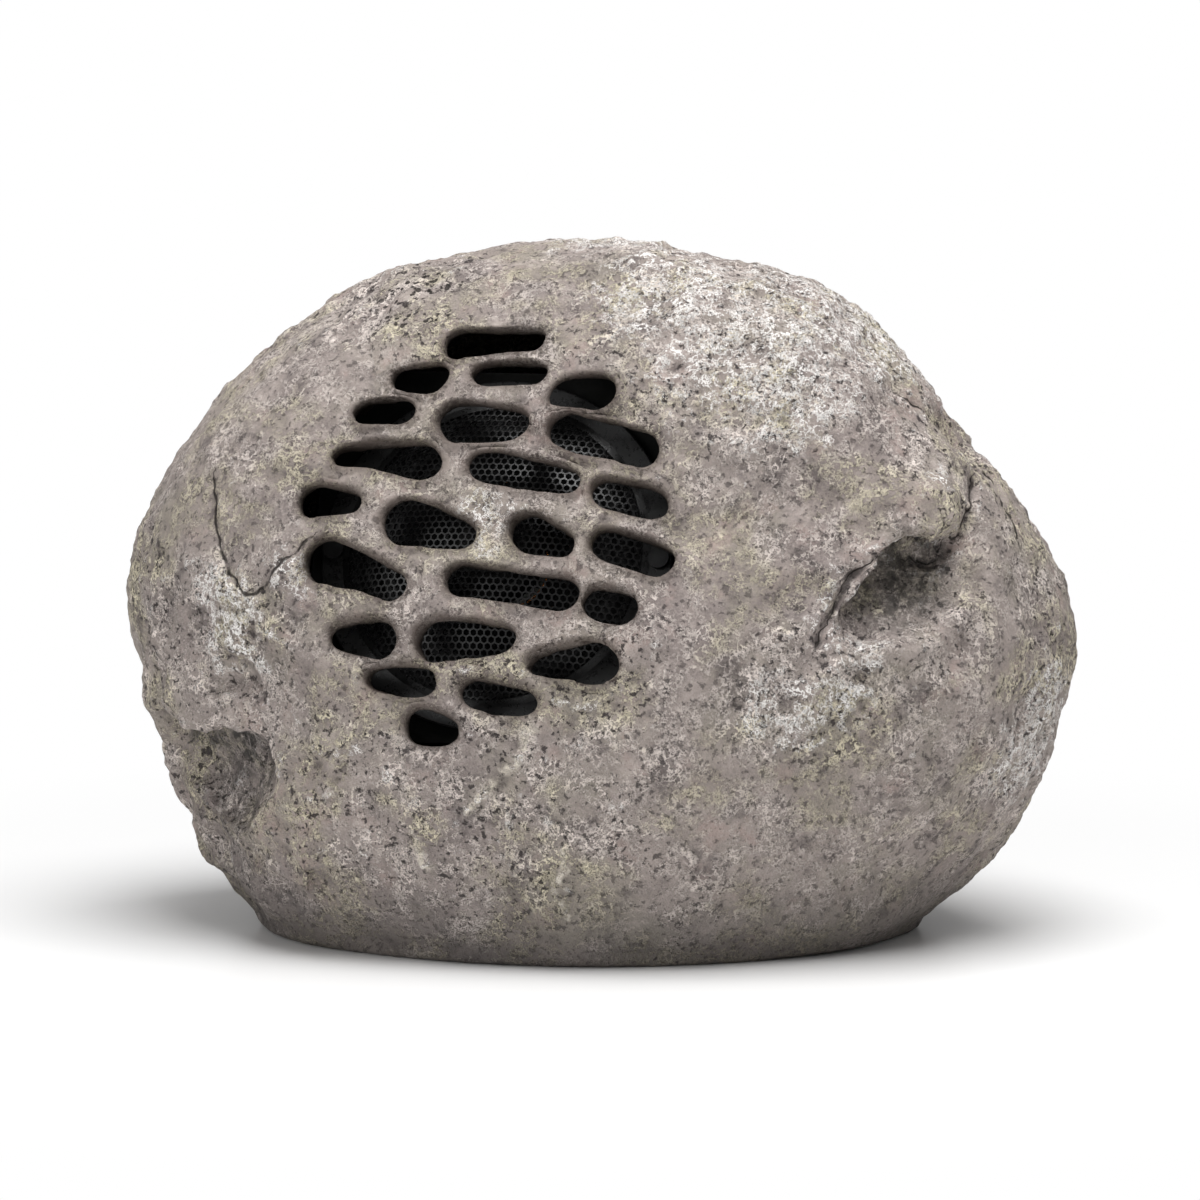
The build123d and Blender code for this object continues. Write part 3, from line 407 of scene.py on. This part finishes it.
def make_boulder():
    """Dense casting with its relief, from the CAD shell."""
    shell = nodes["rock_shell"]
    work = bpy.data.objects.new("rock_casting", with_web(shell.data))
    scene.collection.objects.link(work)
    mesh = with_modifier(work, "REMESH", mode="VOXEL", voxel_size=voxel)
    points = vertex_places(mesh)
    edges = np.zeros(len(mesh.edges) * 2, np.int32)
    mesh.edges.foreach_get("vertices", edges)
    edges = edges.reshape(-1, 2)

    # Outside of the casting: its skin, and the walls of the slots
    depth = hull_depth(points, shell.data)
    near_slots, skin = skin_mask(points, edges, depth)
    outside = np.maximum(skin, near_slots) * smooth_step(0.5, 4, points[:, 2])

    # Rounded rims of the slots, soft edges all over, and ledges that wander
    points = relaxed(points, edges, near_slots * smooth_step(10, 5, depth), rim_rounding)
    points = relaxed(points, edges, outside, skin_rounding)
    ledges = smooth_step(62, 42, distance_to(points, hollow_floor))
    slant = smooth_step(-128, -98, points[:, 0]) * smooth_step(6, 30, points[:, 2])
    slant = slant * (points[:, 2] - hollow_floor[2]) * ledges
    ledges = skin * np.maximum(ledges, 0.8 * smooth_step(46, 28, distance_to(points, notch_floor)))
    points = relaxed(points, edges, ledges, ledge_rounding)
    points = points - np.array(hollow_slant) * (skin * slant)[:, None]
    points = points + drift(points, 24, 3.0) * (5 * np.maximum(ledges, 0.3 * near_slots * skin))[:, None]
    nose = skin * smooth_step(17, 6, distance_to(points, notch_nose)) * smooth_step(12, 7, depth)
    points = points + np.array(notch_nose_drop) * nose[:, None]
    mesh.vertices.foreach_set("co", (points * MM).ravel())
    mesh.update()
    normals = vertex_normals(mesh)

    # Relief along the normals, less on the walls of the slots and none at the gland
    bent = points + 3.5 * drift(points, 14, 6.0) + 1.3 * drift(points, 5, 8.0)
    rough, pale, vein, pocks, hollows = boulder_zones(points, normals, bent)
    broad, fine = boulder_relief(points, normals, bent, depth, rough, vein)
    # Depth in the slots, where the paint lays painted shade
    in_slot = near_slots * smooth_step(3, 9, depth)
    walls = near_slots * smooth_step(0.95, 0.6, normals @ np.array(grille_normal))
    outside = outside * smooth_step(17, 26, distance_to(points, gland_place))
    broad = broad * outside * (1 - walls)
    fine = fine * outside * (1 - 0.6 * walls)
    points = points + normals * (broad + fine)[:, None]
    # Sides of the cracks and creases, for the thin dark line of painted shade along them
    drawn = (crack, notch_crease, shoulder, *back_cracks)
    lines = side_of_lines(points + 1.6 * drift(points, 6, 8.0), normals, drawn)
    near_lines = smooth_step(4, 2.5, np.abs(lines)) * skin
    # Walls and depth of the slots, where the paint lays brown painted shade
    rim = relaxed(np.maximum(walls, in_slot)[:, None], edges, near_slots, skin_rounding)[:, 0]

    # Inner wall behind the hollow, and the limits of the CAD box
    inner = smooth_step(0.1, 0.02, skin) * smooth_step(0.1, 0.02, near_slots)
    inner *= smooth_step(*wall_reach, distance_to(points, hollow_floor)) * smooth_step(8, 13, points[:, 2])
    faces = [tuple(p.vertices) for p in mesh.polygons]
    points = keep_wall(points, normals, edges, faces, skin, inner)
    points = np.clip(points, np.array(cad_box[0]) / MM, np.array(cad_box[1]) / MM)
    mesh.vertices.foreach_set("co", (points * MM).ravel())

    # Numbers that the paint reads
    # crest: height of a place over its neighbours; the paint lays painted highlights on high places and
    # painted shade in low ones
    crest = fine - relaxed(fine[:, None], edges, outside, crest_reach)[:, 0]
    # Painted shade in the hollow and the notch, and a softer painted shadow low in the hollow
    hollow = hollows * smooth_step(3, 11, depth + 2.5 * cloud(points, 8, 3, 15.0))
    hollow = np.maximum(hollow, 0.5 * smooth_step(32, 12, distance_to(bent, hollow_foot)))
    for name, values in (
        ("crest", crest), ("rough", rough), ("pale", pale), ("vein", vein), ("pocks", pocks),
        ("hollow", hollow), ("slot", in_slot), ("rim", rim), ("lines", lines), ("near_lines", near_lines),
    ):
        float_attribute(mesh, name, values)

    shell_copy = work.data
    work.data = mesh
    bpy.data.meshes.remove(shell_copy)
    triangles = sum(len(p.vertices) - 2 for p in mesh.polygons)
    work.data = with_modifier(work, "DECIMATE", ratio=min(1.0, most_triangles / triangles))
    bpy.data.meshes.remove(mesh)
    work.data.shade_smooth()
    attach(work, "rock")
    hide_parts("rock_shell")
    dress(work, rock_paint())


def make_honeycomb():
    """Domed sheet with six sided holes and a flat rim, as the CAD mesh is placed and domed."""
    pitch, web, sheet = 2.2, 0.5, 0.8
    rim_inner, rim_outer, rise = 47.0, 54.5, 12.5
    rim_lap, rim_points, weld = 1.5, 120, 0.02
    axis, across, upwards = np.array(grille_normal), np.array((1.0, 0, 0)), np.array(grille_up)
    corners = np.array([v.co for v in nodes["mesh_grille"].data.vertices]) / MM
    seat = (corners @ axis).min()
    heights, widths = corners @ upwards, corners @ across
    middle = across * (widths.min() + widths.max()) / 2 + upwards * (heights.min() + heights.max()) / 2
    ball = (rim_inner ** 2 + rise ** 2) / (2 * rise)

    def place(x, y, level):
        reach = min(math.hypot(x, y), rim_inner)
        dome = math.sqrt(ball ** 2 - reach ** 2) - (ball - rise)
        return (middle + across * x + upwards * y + axis * (seat + level + dome)) * MM

    shape = bmesh.new()

    def bands(rings):
        """Faces between each ring of places and the next."""
        made = [[shape.verts.new(p) for p in ring] for ring in rings]
        for inner, outer in zip(made[:-1], made[1:]):
            for k in range(len(inner)):
                n = (k + 1) % len(inner)
                shape.faces.new((inner[k], inner[n], outer[n], outer[k]))
        return made

    # Cells of the sheet, with outer walls only where there is no next cell
    turns = [(math.cos(math.radians(60 * k + 30)), math.sin(math.radians(60 * k + 30))) for k in range(6)]
    neighbours = ((0, 1), (-1, 1), (-1, 0), (0, -1), (1, -1), (1, 0))
    row = pitch * math.sqrt(3) / 2
    rows = int(rim_inner / row) + 1
    cell, hole = pitch / math.sqrt(3), (pitch - web) / math.sqrt(3)
    cells = {}
    for b in range(-rows, rows + 1):
        for a in range(-2 * rows, 2 * rows + 1):
            x, y = pitch * (a + b / 2), row * b
            if math.hypot(x, y) < rim_inner - pitch / 2:
                cells[a, b] = x, y
    for (a, b), (x, y) in cells.items():
        levels = ((cell, sheet), (hole, sheet), (hole, 0.0), (cell, 0.0))
        made = bands([[place(x + r * c, y + r * s, level) for c, s in turns] for r, level in levels])
        for k, (right, up) in enumerate(neighbours):
            if (a + right, b + up) not in cells:
                n = (k + 1) % 6
                shape.faces.new((made[0][k], made[0][n], made[3][n], made[3][k]))
    # Flat rim with a rolled edge
    profile = [
        (rim_inner - rim_lap, sheet), (rim_inner + 0.6, sheet), (rim_outer - 0.5, sheet),
        (rim_outer - 0.1, sheet * 0.7), (rim_outer - 0.1, 0.0),
        (rim_inner - rim_lap, 0.0), (rim_inner - rim_lap, sheet),
    ]
    spots = [2 * math.pi * k / rim_points for k in range(rim_points)]
    bands([[place(r * math.cos(t), r * math.sin(t), level) for t in spots] for r, level in profile])
    bmesh.ops.remove_doubles(shape, verts=shape.verts, dist=weld * MM)
    bmesh.ops.recalc_face_normals(shape, faces=shape.faces)
    mesh = bpy.data.meshes.new("mesh_sheet")
    shape.to_mesh(mesh)
    shape.free()
    obj = bpy.data.objects.new("mesh_sheet", mesh)
    scene.collection.objects.link(obj)
    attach(obj, "rock")
    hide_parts("mesh_grille")
    return obj


# Materials


class Shader:
    """Small helper that strings material nodes together."""

    def __init__(self, name):
        self.material = bpy.data.materials.new(name)
        self.material.use_nodes = True
        self.tree = self.material.node_tree
        self.surface = self.tree.nodes["Principled BSDF"]
        self.place = self.tree.nodes.new("ShaderNodeTexCoord").outputs["Object"]

    def node(self, kind, **inputs):
        made = self.tree.nodes.new(kind)
        for name, value in inputs.items():
            self.put(value, made.inputs[name.replace("_", " ")])
        return made

    def put(self, value, socket):
        if isinstance(value, bpy.types.NodeSocket):
            self.tree.links.new(value, socket)
        else:
            socket.default_value = value

    def noise(self, size, detail=3.0, roughness=0.6):
        """Noise with lumps of a size in millimetres, from 0 to 1."""
        made = self.node("ShaderNodeTexNoise", Vector=self.place, Scale=1 / (size * MM))
        made.inputs["Detail"].default_value = detail
        made.inputs["Roughness"].default_value = roughness
        return made.outputs["Fac"]

    def cells(self, size):
        """Distance to the nearest of scattered points, in cells of a size in millimetres."""
        made = self.node("ShaderNodeTexVoronoi", Vector=self.place, Scale=1 / (size * MM))
        return made.outputs["Distance"]

    def bands(self, axis, pitch):
        """Waves along an axis, from 0 to 1."""
        along = self.node("ShaderNodeVectorMath")
        along.operation = "DOT_PRODUCT"
        self.put(self.place, along.inputs[0])
        along.inputs[1].default_value = axis
        wave = self.math("SINE", self.math("MULTIPLY", along.outputs["Value"], 2 * math.pi / (pitch * MM)), 0)
        return self.math("MULTIPLY_ADD", wave, 0.5, 0.5)

    def attribute(self, name):
        made = self.tree.nodes.new("ShaderNodeAttribute")
        made.attribute_name = name
        return made.outputs["Fac"]

    def step(self, value, low, high, start=0.0, end=1.0):
        """Soft rise of a value between two limits."""
        made = self.tree.nodes.new("ShaderNodeMapRange")
        made.interpolation_type = "SMOOTHSTEP"
        limits = (("Value", value), ("From Min", low), ("From Max", high), ("To Min", start), ("To Max", end))
        for name, given in limits:
            self.put(given, made.inputs[name])
        return made.outputs["Result"]

    def near(self, value, middle, far, close):
        """1 where a value lies close to a middle, 0 where it is far from it."""
        away = self.math("ABSOLUTE", self.math("SUBTRACT", value, middle))
        return self.step(away, far, close)

    def math(self, operation, *values):
        made = self.tree.nodes.new("ShaderNodeMath")
        made.operation = operation
        for socket, value in zip(made.inputs, values):
            self.put(value, socket)
        return made.outputs[0]

    def mix(self, share, a, b):
        """Colour a, with colour b laid over it by a share."""
        made = self.tree.nodes.new("ShaderNodeMix")
        made.data_type = "RGBA"
        for socket, value in ((made.inputs[0], share), (made.inputs[6], a), (made.inputs[7], b)):
            self.put((*value, 1) if isinstance(value, tuple) else value, socket)
        return made.outputs[2]

    def bump(self, height, depth, normal=None):
        """Fine relief of a depth in millimetres."""
        made = self.node("ShaderNodeBump", Height=height)
        made.inputs["Distance"].default_value = depth * MM
        if normal:
            self.put(normal, made.inputs["Normal"])
        return made.outputs["Normal"]

    def set(self, **inputs):
        for name, value in inputs.items():
            value = (*value, 1) if isinstance(value, tuple) else value
            self.put(value, self.surface.inputs[name.replace("_", " ")])
        return self.material


def rock_paint():
    """Painted casting: mottled taupe coats, a dark wash as painted shade in low places, white dry-brushed
    paint with painted highlights on high ones.
    """
    s = Shader("rock_paint")
    crest = s.attribute("crest")
    pale = s.attribute("pale")
    rough = s.attribute("rough")
    height = s.node("ShaderNodeSeparateXYZ", Vector=s.place).outputs["Z"]

    # Coats that drift from mauve grey to taupe, olive and pink
    colour = s.mix(s.step(s.noise(70, 3), 0.40, 0.60), (0.225, 0.190, 0.178), (0.280, 0.240, 0.220))
    colour = s.mix(s.step(s.noise(31, 4, 0.65), 0.48, 0.64, 0.0, 0.55), colour, (0.255, 0.231, 0.190))
    colour = s.mix(s.step(s.noise(19, 4, 0.65), 0.54, 0.68, 0.0, 0.6), colour, (0.37, 0.283, 0.256))
    stain = s.noise(11, 5, 0.7)
    colour = s.mix(s.step(stain, 0.50, 0.68, 0.0, 0.65), colour, (0.43, 0.37, 0.34))
    colour = s.mix(s.step(stain, 0.49, 0.33, 0.0, 0.75), colour, (0.085, 0.071, 0.070))

    # Cream and ochre threads on the grain, and dark pits between them, with painted shade in the small pits
    strength = s.step(rough, 0.0, 1.0, 0.7, 1.1)
    cream = s.mix(s.step(s.noise(26, 3), 0.45, 0.60), (0.78, 0.69, 0.64), (0.70, 0.63, 0.48))
    relief = s.bump(s.noise(4.2, 5, 0.7), 1.2)
    for size, share in ((3.4, 1.0), (2.0, 0.85)):
        thread = s.near(s.noise(size, 5, 0.7), 0.5, 0.055, 0.025)
        thread = s.math("MULTIPLY", thread, s.step(s.noise(3 * size, 3), 0.45, 0.62, 0.08, share))
        thread = s.math("MULTIPLY", thread, strength)
        colour = s.mix(thread, colour, cream)
        relief = s.bump(thread, 0.2 * size, relief)
    # Painted shade in the pits: near black where the bump sinks them
    pits = s.math("MULTIPLY", s.step(s.noise(2.1, 4, 0.65), 0.57, 0.63), strength)
    colour = s.mix(s.math("MULTIPLY", pits, 0.85), colour, (0.045, 0.037, 0.037))
    relief = s.bump(pits, -0.6, relief)

    # Painted shade in low places as a dark wash, and painted highlights on high ones as white dry-brushed
    # paint
    colour = s.mix(s.step(crest, -0.2, -1.3, 0.0, 0.8), colour, (0.075, 0.063, 0.061))
    strokes = s.near(s.noise(3.8, 5, 0.75), 0.5, 0.07, 0.0)
    brush_and_highlight = s.math("MULTIPLY_ADD", strokes, 1.3, s.math("MULTIPLY", crest, 0.8))
    brush_and_highlight = s.math("ADD", brush_and_highlight, s.step(pale, 0.0, 1.0, -1.45, -0.7))
    colour = s.mix(s.step(brush_and_highlight, 0.05, 0.4, 0.0, 0.95), colour, (0.90, 0.868, 0.84))
    grit = s.math("MULTIPLY", s.attribute("vein"), s.step(s.noise(2.4, 5, 0.75), 0.45, 0.55))
    colour = s.mix(s.math("MULTIPLY", grit, 0.85), colour, (0.78, 0.71, 0.60))

    # Painted shade in the cracks, pocks, hollows and slots, and towards the foot
    # Painted shade along the cracks and creases: a thin dark line
    line = s.math("MULTIPLY", s.near(s.attribute("lines"), 0.0, 0.6, 0.15), s.attribute("near_lines"))
    line = s.math("MULTIPLY", line, s.step(s.noise(8, 3), 0.36, 0.46))
    colour = s.mix(s.math("MULTIPLY", line, 0.9), colour, (0.03, 0.025, 0.022))
    # Painted shade in the pocks: dark dots where the bump sinks them
    pock = s.math("MULTIPLY", s.step(s.cells(2.8), 0.32, 0.25), s.step(s.noise(9, 2), 0.38, 0.46))
    pock = s.math("MULTIPLY", pock, s.attribute("pocks"))
    colour = s.mix(s.math("MULTIPLY", pock, 0.92), colour, (0.035, 0.03, 0.027))
    # Painted shade in the hollow and the notch, mottled
    shade = s.step(s.noise(4.5, 6, 0.75), 0.42, 0.60, 0.96, 0.25)
    colour = s.mix(s.math("MULTIPLY", s.attribute("hollow"), shade), colour, (0.045, 0.041, 0.038))
    # Painted shade on the walls of the slots, going to near black deep inside them
    colour = s.mix(s.math("MULTIPLY", s.attribute("rim"), 0.7), colour, (0.075, 0.055, 0.044))
    colour = s.mix(s.math("MULTIPLY", s.attribute("slot"), 0.98), colour, (0.024, 0.017, 0.013))
    # Painted shade: darker towards the foot
    colour = s.mix(s.step(height, 36 * MM, 3 * MM, 0.0, 0.6), colour, (0.082, 0.075, 0.070))

    relief = s.bump(line, -1.2, relief)
    relief = s.bump(pock, -0.9, relief)
    roughness = s.step(s.noise(9, 3), 0.3, 0.7, 0.74, 0.95)
    return s.set(Base_Color=colour, Roughness=roughness, Normal=relief, Specular_IOR_Level=0.25)


def coated(name, colour, second, size, roughness, depth, metallic=0.0, specular=0.5):
    """Plain finish with a grain of a size in millimetres, drifting between two colours."""
    s = Shader(name)
    grain = s.noise(size, 4, 0.65)
    shade = s.mix(s.step(s.noise(size * 12, 3), 0.35, 0.65), colour, second)
    shade = s.mix(s.step(grain, 0.55, 0.8, 0.0, 0.35), shade, tuple(0.6 * c for c in colour))
    rough = s.step(s.noise(size * 4, 3), 0.3, 0.7, roughness - 0.08, roughness + 0.08)
    return s.set(
        Base_Color=shade, Roughness=rough, Normal=s.bump(grain, depth),
        Metallic=metallic, Specular_IOR_Level=specular,
    )


def woven(name, colour, second, pitch, roughness):
    """Cloth of crossing threads, stiffened with resin."""
    s = Shader(name)
    warp, weft = s.bands((1, 0, 0), pitch), s.bands(tuple(grille_up), pitch)
    weave = s.math("MAXIMUM", warp, weft)
    shade = s.mix(s.step(weave, 0.2, 0.9), tuple(0.45 * c for c in colour), colour)
    shade = s.mix(s.step(s.noise(6, 3), 0.45, 0.65, 0.0, 0.6), shade, second)
    rough = s.step(s.noise(3, 3), 0.3, 0.7, roughness - 0.08, roughness + 0.08)
    return s.set(Base_Color=shade, Roughness=rough, Normal=s.bump(weave, 0.12))


def wound(name, colour, second, pitch, axis):
    """Enamelled wire laid turn beside turn along an axis."""
    s = Shader(name)
    turns = s.bands(axis, pitch)
    shade = s.mix(s.step(turns, 0.0, 0.7), tuple(0.3 * c for c in colour), colour)
    shade = s.mix(s.step(s.noise(4, 3), 0.45, 0.65, 0.0, 0.6), shade, second)
    rough = s.step(s.noise(2, 3), 0.3, 0.7, 0.22, 0.38)
    return s.set(Base_Color=shade, Roughness=rough, Normal=s.bump(turns, 0.15), Metallic=0.9)


def printed_board():
    """Glass fibre board under a green lacquer, with tinned tracks that show through."""
    s = Shader("green_board")
    weave = s.math("MAXIMUM", s.bands((1, 0, 0), 0.9), s.bands((0, 1, 0), 0.9))
    tracks = s.step(s.math("MAXIMUM", s.bands((1, 0, 0), 11), s.bands((0, 1, 0), 17)), 0.90, 0.94)
    shade = s.mix(s.step(weave, 0.2, 0.9), (0.012, 0.05, 0.022), (0.02, 0.085, 0.035))
    shade = s.mix(s.math("MULTIPLY", tracks, 0.6), shade, (0.05, 0.15, 0.05))
    rough = s.step(s.noise(5, 3), 0.3, 0.7, 0.25, 0.42)
    relief = s.bump(tracks, 0.05, s.bump(weave, 0.02))
    return s.set(Base_Color=shade, Roughness=rough, Normal=relief)


def finishes():
    """Finish of each material slot in the record, apart from the boulder's."""
    return {
        "mesh_paint": coated("mesh_paint", (0.012, 0.012, 0.012), (0.02, 0.02, 0.02), 0.4, 0.32, 0.03),
        "board_black": coated(
            "black_board", (0.007, 0.007, 0.007), (0.011, 0.011, 0.01), 1.2, 0.75, 0.12, specular=0.2,
        ),
        "screw_steel": coated(
            "zinc_screw", (0.55, 0.55, 0.56), (0.48, 0.48, 0.47), 0.4, 0.35, 0.02, metallic=1.0,
        ),
        "screw_black": coated(
            "black_screw", (0.02, 0.02, 0.021), (0.03, 0.03, 0.03), 0.4, 0.42, 0.03, metallic=0.6,
        ),
        "foam_rubber": coated("foam_rubber", (0.016, 0.016, 0.016), (0.025, 0.024, 0.024), 0.7, 0.9, 0.3),
        "basket_paint": coated("basket_paint", (0.015, 0.015, 0.016), (0.022, 0.022, 0.022), 0.5, 0.48, 0.06),
        "butyl_rubber": coated("butyl_rubber", (0.01, 0.01, 0.01), (0.016, 0.016, 0.016), 0.6, 0.6, 0.04),
        "cone_plastic": coated("cone_plastic", (0.014, 0.014, 0.015), (0.022, 0.022, 0.023), 0.8, 0.45, 0.08),
        "copper": wound("copper_wire", (0.75, 0.32, 0.12), (0.6, 0.22, 0.08), 0.6, (0, 0, 1)),
        "spider_cloth": woven("spider_cloth", (0.42, 0.27, 0.09), (0.34, 0.2, 0.07), 0.7, 0.75),
        "motor_steel": coated("zinc_plate", (0.5, 0.5, 0.5), (0.42, 0.42, 0.4), 0.6, 0.4, 0.03, metallic=1.0),
        "ferrite": coated("ferrite", (0.035, 0.035, 0.037), (0.05, 0.05, 0.052), 0.5, 0.62, 0.08),
        "tweeter_plastic": coated(
            "tweeter_plastic", (0.014, 0.014, 0.014), (0.02, 0.02, 0.02), 0.4, 0.45, 0.04,
        ),
        "dome_cloth": woven("dome_cloth", (0.03, 0.028, 0.026), (0.02, 0.02, 0.02), 0.35, 0.5),
        "tag_board": coated("tag_board", (0.16, 0.075, 0.03), (0.12, 0.055, 0.025), 0.8, 0.5, 0.05),
        "brass": coated("tinned_brass", (0.72, 0.56, 0.26), (0.6, 0.46, 0.22), 0.4, 0.3, 0.02, metallic=1.0),
        "lead_sheath": coated("lead_sheath", (0.03, 0.028, 0.028), (0.045, 0.042, 0.04), 0.5, 0.5, 0.03),
        "circuit_board": printed_board(),
        "bobbin_plastic": coated("bobbin_nylon", (0.62, 0.6, 0.55), (0.55, 0.53, 0.48), 0.5, 0.45, 0.04),
        "capacitor_sleeve": coated(
            "capacitor_film", (0.02, 0.035, 0.09), (0.028, 0.045, 0.11), 0.5, 0.3, 0.02,
        ),
        "cement": coated("cement", (0.62, 0.6, 0.57), (0.52, 0.5, 0.47), 0.7, 0.85, 0.18),
        "terminal_plastic": coated(
            "terminal_plastic", (0.03, 0.12, 0.05), (0.04, 0.15, 0.06), 0.4, 0.42, 0.03,
        ),
        "base_plastic": coated("base_plastic", (0.035, 0.034, 0.033), (0.05, 0.048, 0.046), 0.9, 0.6, 0.12),
        "gland_plastic": coated("gland_nylon", (0.022, 0.022, 0.023), (0.032, 0.032, 0.033), 0.6, 0.45, 0.06),
    }


def dress(obj, material):
    obj.data.materials.clear()
    obj.data.materials.append(material)


def dress_nodes():
    """Finish on the honeycomb and on every CAD node that stays."""
    made = finishes()
    dress(make_honeycomb(), made["mesh_paint"])
    for part in frame["record"]["subparts"]:
        if part["material_slot"] in made:
            dress(nodes[part["node"]], made[part["material_slot"]])


# Stage


def lamp(name, place, target, size, power):
    """Soft square lamp that points at a target."""
    data = bpy.data.lights.new(name, "AREA")
    data.shape = "SQUARE"
    data.size = size
    data.energy = power
    obj = bpy.data.objects.new(name, data)
    obj.location = place
    obj.rotation_euler = (Vector(target) - Vector(place)).to_track_quat("-Z", "Y").to_euler()
    scene.collection.objects.link(obj)


def make_floor():
    """Pale floor that keeps the shadow near the boulder and fades to white."""
    side = floor_side
    mesh = bpy.data.meshes.new("floor")
    corners = [(-side, -side, 0), (side, -side, 0), (side, side, 0), (-side, side, 0)]
    mesh.from_pydata(corners, [], [(0, 1, 2, 3)])
    obj = bpy.data.objects.new("floor", mesh)
    obj.location.z = -floor_drop
    scene.collection.objects.link(obj)
    s = Shader("floor_white")
    spread = s.node("ShaderNodeVectorMath", Vector=s.place)
    spread.operation = "LENGTH"
    fade = s.step(spread.outputs["Value"], *floor_fade)
    s.set(Base_Color=(0.93, 0.93, 0.93), Roughness=0.25, Specular_IOR_Level=0.4)
    path = s.tree.nodes.new("ShaderNodeLightPath").outputs
    seen = s.math("MAXIMUM", path["Is Glossy Ray"], path["Is Transmission Ray"])
    seen = s.math("MAXIMUM", path["Is Camera Ray"], seen)
    glow = s.node("ShaderNodeEmission", Color=(1, 1, 1, 1), Strength=1.0)
    mixed = s.tree.nodes.new("ShaderNodeMixShader")
    s.put(s.math("MULTIPLY", fade, seen), mixed.inputs[0])
    s.put(s.surface.outputs[0], mixed.inputs[1])
    s.put(glow.outputs[0], mixed.inputs[2])
    s.put(mixed.outputs[0], s.tree.nodes["Material Output"].inputs["Surface"])
    mesh.materials.append(s.material)


def make_world():
    """White surroundings: plain for the camera, softer as light."""
    world = bpy.data.worlds.new("studio")
    world.use_nodes = True
    scene.world = world
    tree = world.node_tree
    path = tree.nodes.new("ShaderNodeLightPath").outputs
    seen = tree.nodes.new("ShaderNodeMath")
    seen.operation = "MAXIMUM"
    tree.links.new(path["Is Camera Ray"], seen.inputs[0])
    tree.links.new(path["Is Transmission Ray"], seen.inputs[1])
    strength = tree.nodes.new("ShaderNodeMapRange")
    tree.links.new(seen.outputs[0], strength.inputs["Value"])
    strength.inputs["To Min"].default_value = world_light
    strength.inputs["To Max"].default_value = 1.0
    tree.links.new(strength.outputs["Result"], tree.nodes["Background"].inputs["Strength"])
    tree.nodes["Background"].inputs["Color"].default_value = (1, 1, 1, 1)


def make_camera():
    """Camera at the photograph's angle, with its perspective."""
    right = Vector((math.cos(camera_azimuth), math.sin(camera_azimuth), 0))
    back = Vector((
        math.sin(camera_azimuth) * math.cos(camera_elevation),
        -math.cos(camera_azimuth) * math.cos(camera_elevation),
        math.sin(camera_elevation),
    ))
    up = back.cross(right)
    data = bpy.data.cameras.new("camera")
    data.sensor_width = sensor_width
    data.sensor_fit = "HORIZONTAL"
    data.lens = sensor_width * camera_distance / picture_width
    obj = bpy.data.objects.new("camera", data)
    obj.location = back * camera_distance
    obj.rotation_euler = (up * aim_up - obj.location).to_track_quat("-Z", "Y").to_euler()
    scene.collection.objects.link(obj)
    scene.camera = obj


make_boulder()
dress_nodes()
make_floor()
make_world()
make_camera()
lamp("key", (0.25, -0.25, 1.65), lamp_target, size=1.2, power=38)
lamp("fill", (-1.1, -1.5, 0.7), lamp_target, size=1.0, power=8)
scene.view_settings.view_transform = "Standard"
